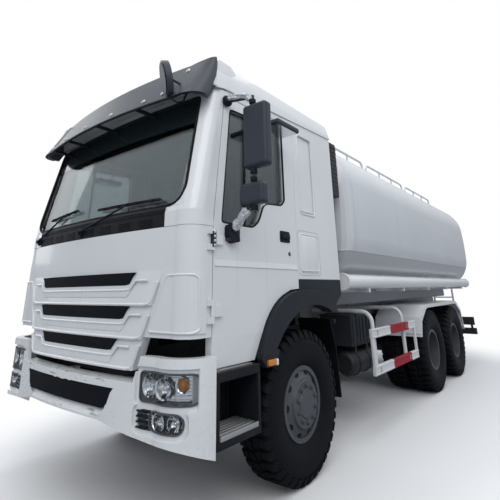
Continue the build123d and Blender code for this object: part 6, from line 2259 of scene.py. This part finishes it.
@dataclass
class TankTop:
    """Hose tube caps, the walkway's tread and the lid's fittings."""

    walk_half: float = 0.66
    walk_top: float = 3.29
    walk_ends: Flat = (-1.13, -6.69)
    rows: int = 56
    columns: int = 15
    lid_x: float = -3.89
    clear: float = 0.44
    grip: Line = (
        (-0.09, 3.36), (-0.09, 3.4), (-0.07, 3.415), (0.07, 3.415), (0.09, 3.4), (0.09, 3.36),
    )
    dog_ring: float = 0.258
    dog_angles: Tuple[int, ...] = (30, 90, 270, 330)
    cap: Line = (
        (0.082, -0.03), (0.09, -0.026), (0.092, 0.0), (0.088, 0.008), (0.08, 0.009), (0.075, 0.005),
        (0.02, 0.006),
    )

    def tread(self) -> None:
        """Raised lozenges over the walkway, clear of the manhole."""
        shape = Shape()
        start, end = self.walk_ends
        up = Vector((0.0, 0.0, 0.004))
        for i in range(self.rows):
            for k in range(self.columns):
                x = start + (end - start) * (i + 0.5) / self.rows
                y = -self.walk_half + 2 * self.walk_half * (k + 0.5) / self.columns
                if math.hypot(x - self.lid_x, y) < self.clear:
                    continue
                turn = 1 if (i + k) % 2 else -1
                along = Vector((0.024, 0.024 * turn, 0.0))
                wide = Vector((-0.005 * turn, 0.005, 0.0))
                middle = Vector((fa(x), y, self.walk_top - 0.0004))
                ways = (along, wide, -along, -wide)
                crown = [tuple(middle + way * 0.6 + up) for way in ways]
                shape.loft([[tuple(middle + way) for way in ways], crown])
        shape.build("walkway_tread", ALLOY, "chassis", 20.0)

    def lid(self) -> None:
        """Grip and dogs on the lid."""
        shape = Shape()
        x = fa(self.lid_x)
        shape.tube([(x + 0.1, y, z) for y, z in self.grip], 0.009, 10)
        for degrees in self.dog_angles:
            a = math.radians(degrees)
            at = (x + self.dog_ring * math.cos(a), self.dog_ring * math.sin(a), 3.352)
            shape.nut(at, Axis.Z.value, 0.017, 0.022)
        shape.build("lid_grip", ALLOY, "lid", 30.0)

    def caps(self) -> None:
        """Rolled caps on the hose tubes' ends."""
        shape = Shape()
        for x, way in ((-0.842, 1.0), (-6.748, -1.0)):
            shape.lathe(self.cap, (fa(x), 1.16, 1.525), (way, 0.0, 0.0), 36)
        shape.mirrored().build("hose_caps", WHITE, "chassis", 30.0)

    def build(self) -> None:
        """Dress the tank's top."""
        self.caps()
        self.tread()
        self.lid()


@dataclass
class Seats:
    """Padded cab seats: cushion, back and headrest with sewn channels."""

    pads: Tuple[Tuple[Line, Line, float], ...] = (
        (((0.03, 1.705), (0.57, 1.705)), ((0.03, 1.825), (0.3, 1.828), (0.565, 1.835)), 0.245),
        (((0.015, 1.8), (-0.065, 2.5)), ((0.13, 1.84), (0.085, 2.2), (0.035, 2.5)), 0.23),
        (((-0.06, 2.5), (-0.062, 2.71)), ((0.03, 2.5), (0.02, 2.71)), 0.145),
    )
    middle: float = 0.56
    across: int = 28
    along: int = 30
    crown: float = 0.018
    fill: float = 0.6

    def pad(self, shape: Shape, low: Sequence[Flat], high: Sequence[Flat], half: float, y: float) -> None:
        """A crowned pad between two profiles in X and Z.

        Args:
            shape: The mesh in the making.
            low: The underside's profile, start to end.
            high: The upper side's profile, start to end.
            half: Half the pad's width.
            y: The pad's middle across.
        """
        rings = []
        for i in range(self.along + 1):
            t = i / self.along
            foot = Vector(self.on(low, t))
            head = Vector(self.on(high, t))
            ends = math.sin(math.pi * min(max(t, 0.02), 0.98)) ** 0.35
            ring = []
            for a in turns(self.across):
                c, s = math.cos(a), math.sin(a)
                wide = math.copysign(abs(c) ** 0.4, c) * half * (0.93 + 0.07 * ends)
                tall = math.copysign(abs(s) ** 0.45, s)
                centre = (foot + head) / 2
                reach = (head - foot) / 2 * (0.7 + 0.3 * ends)
                seam = 0.012 * math.exp(-((abs(wide) - half * 0.55) / 0.012) ** 2) if s > 0 else 0.0
                swell = self.crown * (1 - (wide / half) ** 2) * ends if s > 0 else 0.0
                rise = reach.normalized() * (swell - seam) if reach.length else reach
                point = centre + reach * tall + rise
                ring.append((point[0], y + wide, point[1]))
            rings.append(ring)
        shape.loft(rings)

    def on(self, line: Sequence[Flat], t: float) -> Flat:
        """A place along a profile.

        Args:
            line: The profile's points in order.
            t: 0 at its start and 1 at its end.

        Returns:
            X and Z of the place.
        """
        at = t * (len(line) - 1)
        i = min(int(at), len(line) - 2)
        share = at - i
        (x0, z0), (x1, z1) = line[i], line[i + 1]
        return x0 + (x1 - x0) * share, z0 + (z1 - z0) * share

    def build(self) -> None:
        """Make both seats on their boxes."""
        for side in Side:
            y = self.middle * side.value
            soft = Shape()
            for low, high, half in self.pads:
                under, over = ([(fa(x), z) for x, z in line] for line in (low, high))
                self.pad(soft, under, over, half, y)
            seat = soft.build(f"seat_{side.label()}", CLOTH, "cab", 60.0)
            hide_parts("seats")
            hard = Shape()
            hard.block((fa(0.1), y - 0.15, 1.445), (fa(0.49), y + 0.15, 1.703), 0.02)
            for shift in (-0.07, 0.07):
                hard.tube([(fa(-0.02), y + shift, 2.42), (fa(-0.018), y + shift, 2.56)], 0.008, 8)
            hard.build(f"seat_base_{side.label()}", TRIM_GREY, "cab")


@dataclass
class Interior:
    """Dark lining and instruments inside the cab."""

    body: str = "cab"

    def lining(self) -> None:
        """Panels on the back wall, the roof and the sides, with pads behind the seats."""
        lining = Shape()
        lining.block((fa(-0.648), -1.12, 1.56), (fa(-0.63), 1.12, 2.98), 0.006)
        lining.block((fa(-0.645), -1.1, 2.955), (fa(1.02), 1.1, 2.972), 0.006)
        for y in (-1.128, 1.112):
            lining.block((fa(-0.64), y, 1.58), (fa(0.06), y + 0.016, 2.96), 0.006)
        for y in (-0.82, 0.3):
            lining.block((fa(-0.634), y, 1.9), (fa(-0.6), y + 0.52, 2.5), 0.015)
        lining.build("cab_lining", LINING, self.body)

    def instruments(self) -> None:
        """Hood over the instruments and a row of switches."""
        hood = Shape()
        angles = (0.0, 0.8, 1.6, 2.4, 3.14)
        rim = [(fa(0.9) + 0.14 * math.cos(a), 2.13 + 0.06 * math.sin(a)) for a in angles]
        near, far = ([(x, y, z) for x, z in rim] for y in (-0.74, -0.36))
        hood.ribbon(near, far, (0.0, 0.0, -0.012))
        for k in range(5):
            hood.block((fa(0.66), 0.02 + 0.09 * k, 2.02), (fa(0.676), 0.08 + 0.09 * k, 2.07), 0.004)
        hood.build("instrument_hood", BLACK, self.body)

    def build(self) -> None:
        """Line the cab and dress its dashboard."""
        self.lining()
        self.instruments()


def main() -> None:
    """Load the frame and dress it."""
    logging.basicConfig(level=logging.INFO, format="%(name)s: %(message)s")
    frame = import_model()
    Studio().build()
    CadSkin(frame["nodes"]).dress()
    Tyres().build()
    WheelTrim().build()
    CabFront().build()
    FrontLamps().build()
    for side in Side:
        DoorTrim(side).build()
    CabSides().build()
    VisorTrim().build()
    SideGear().build()
    TankTop().build()
    Seats().build()
    Interior().build()


if __name__ == "__main__":
    main()
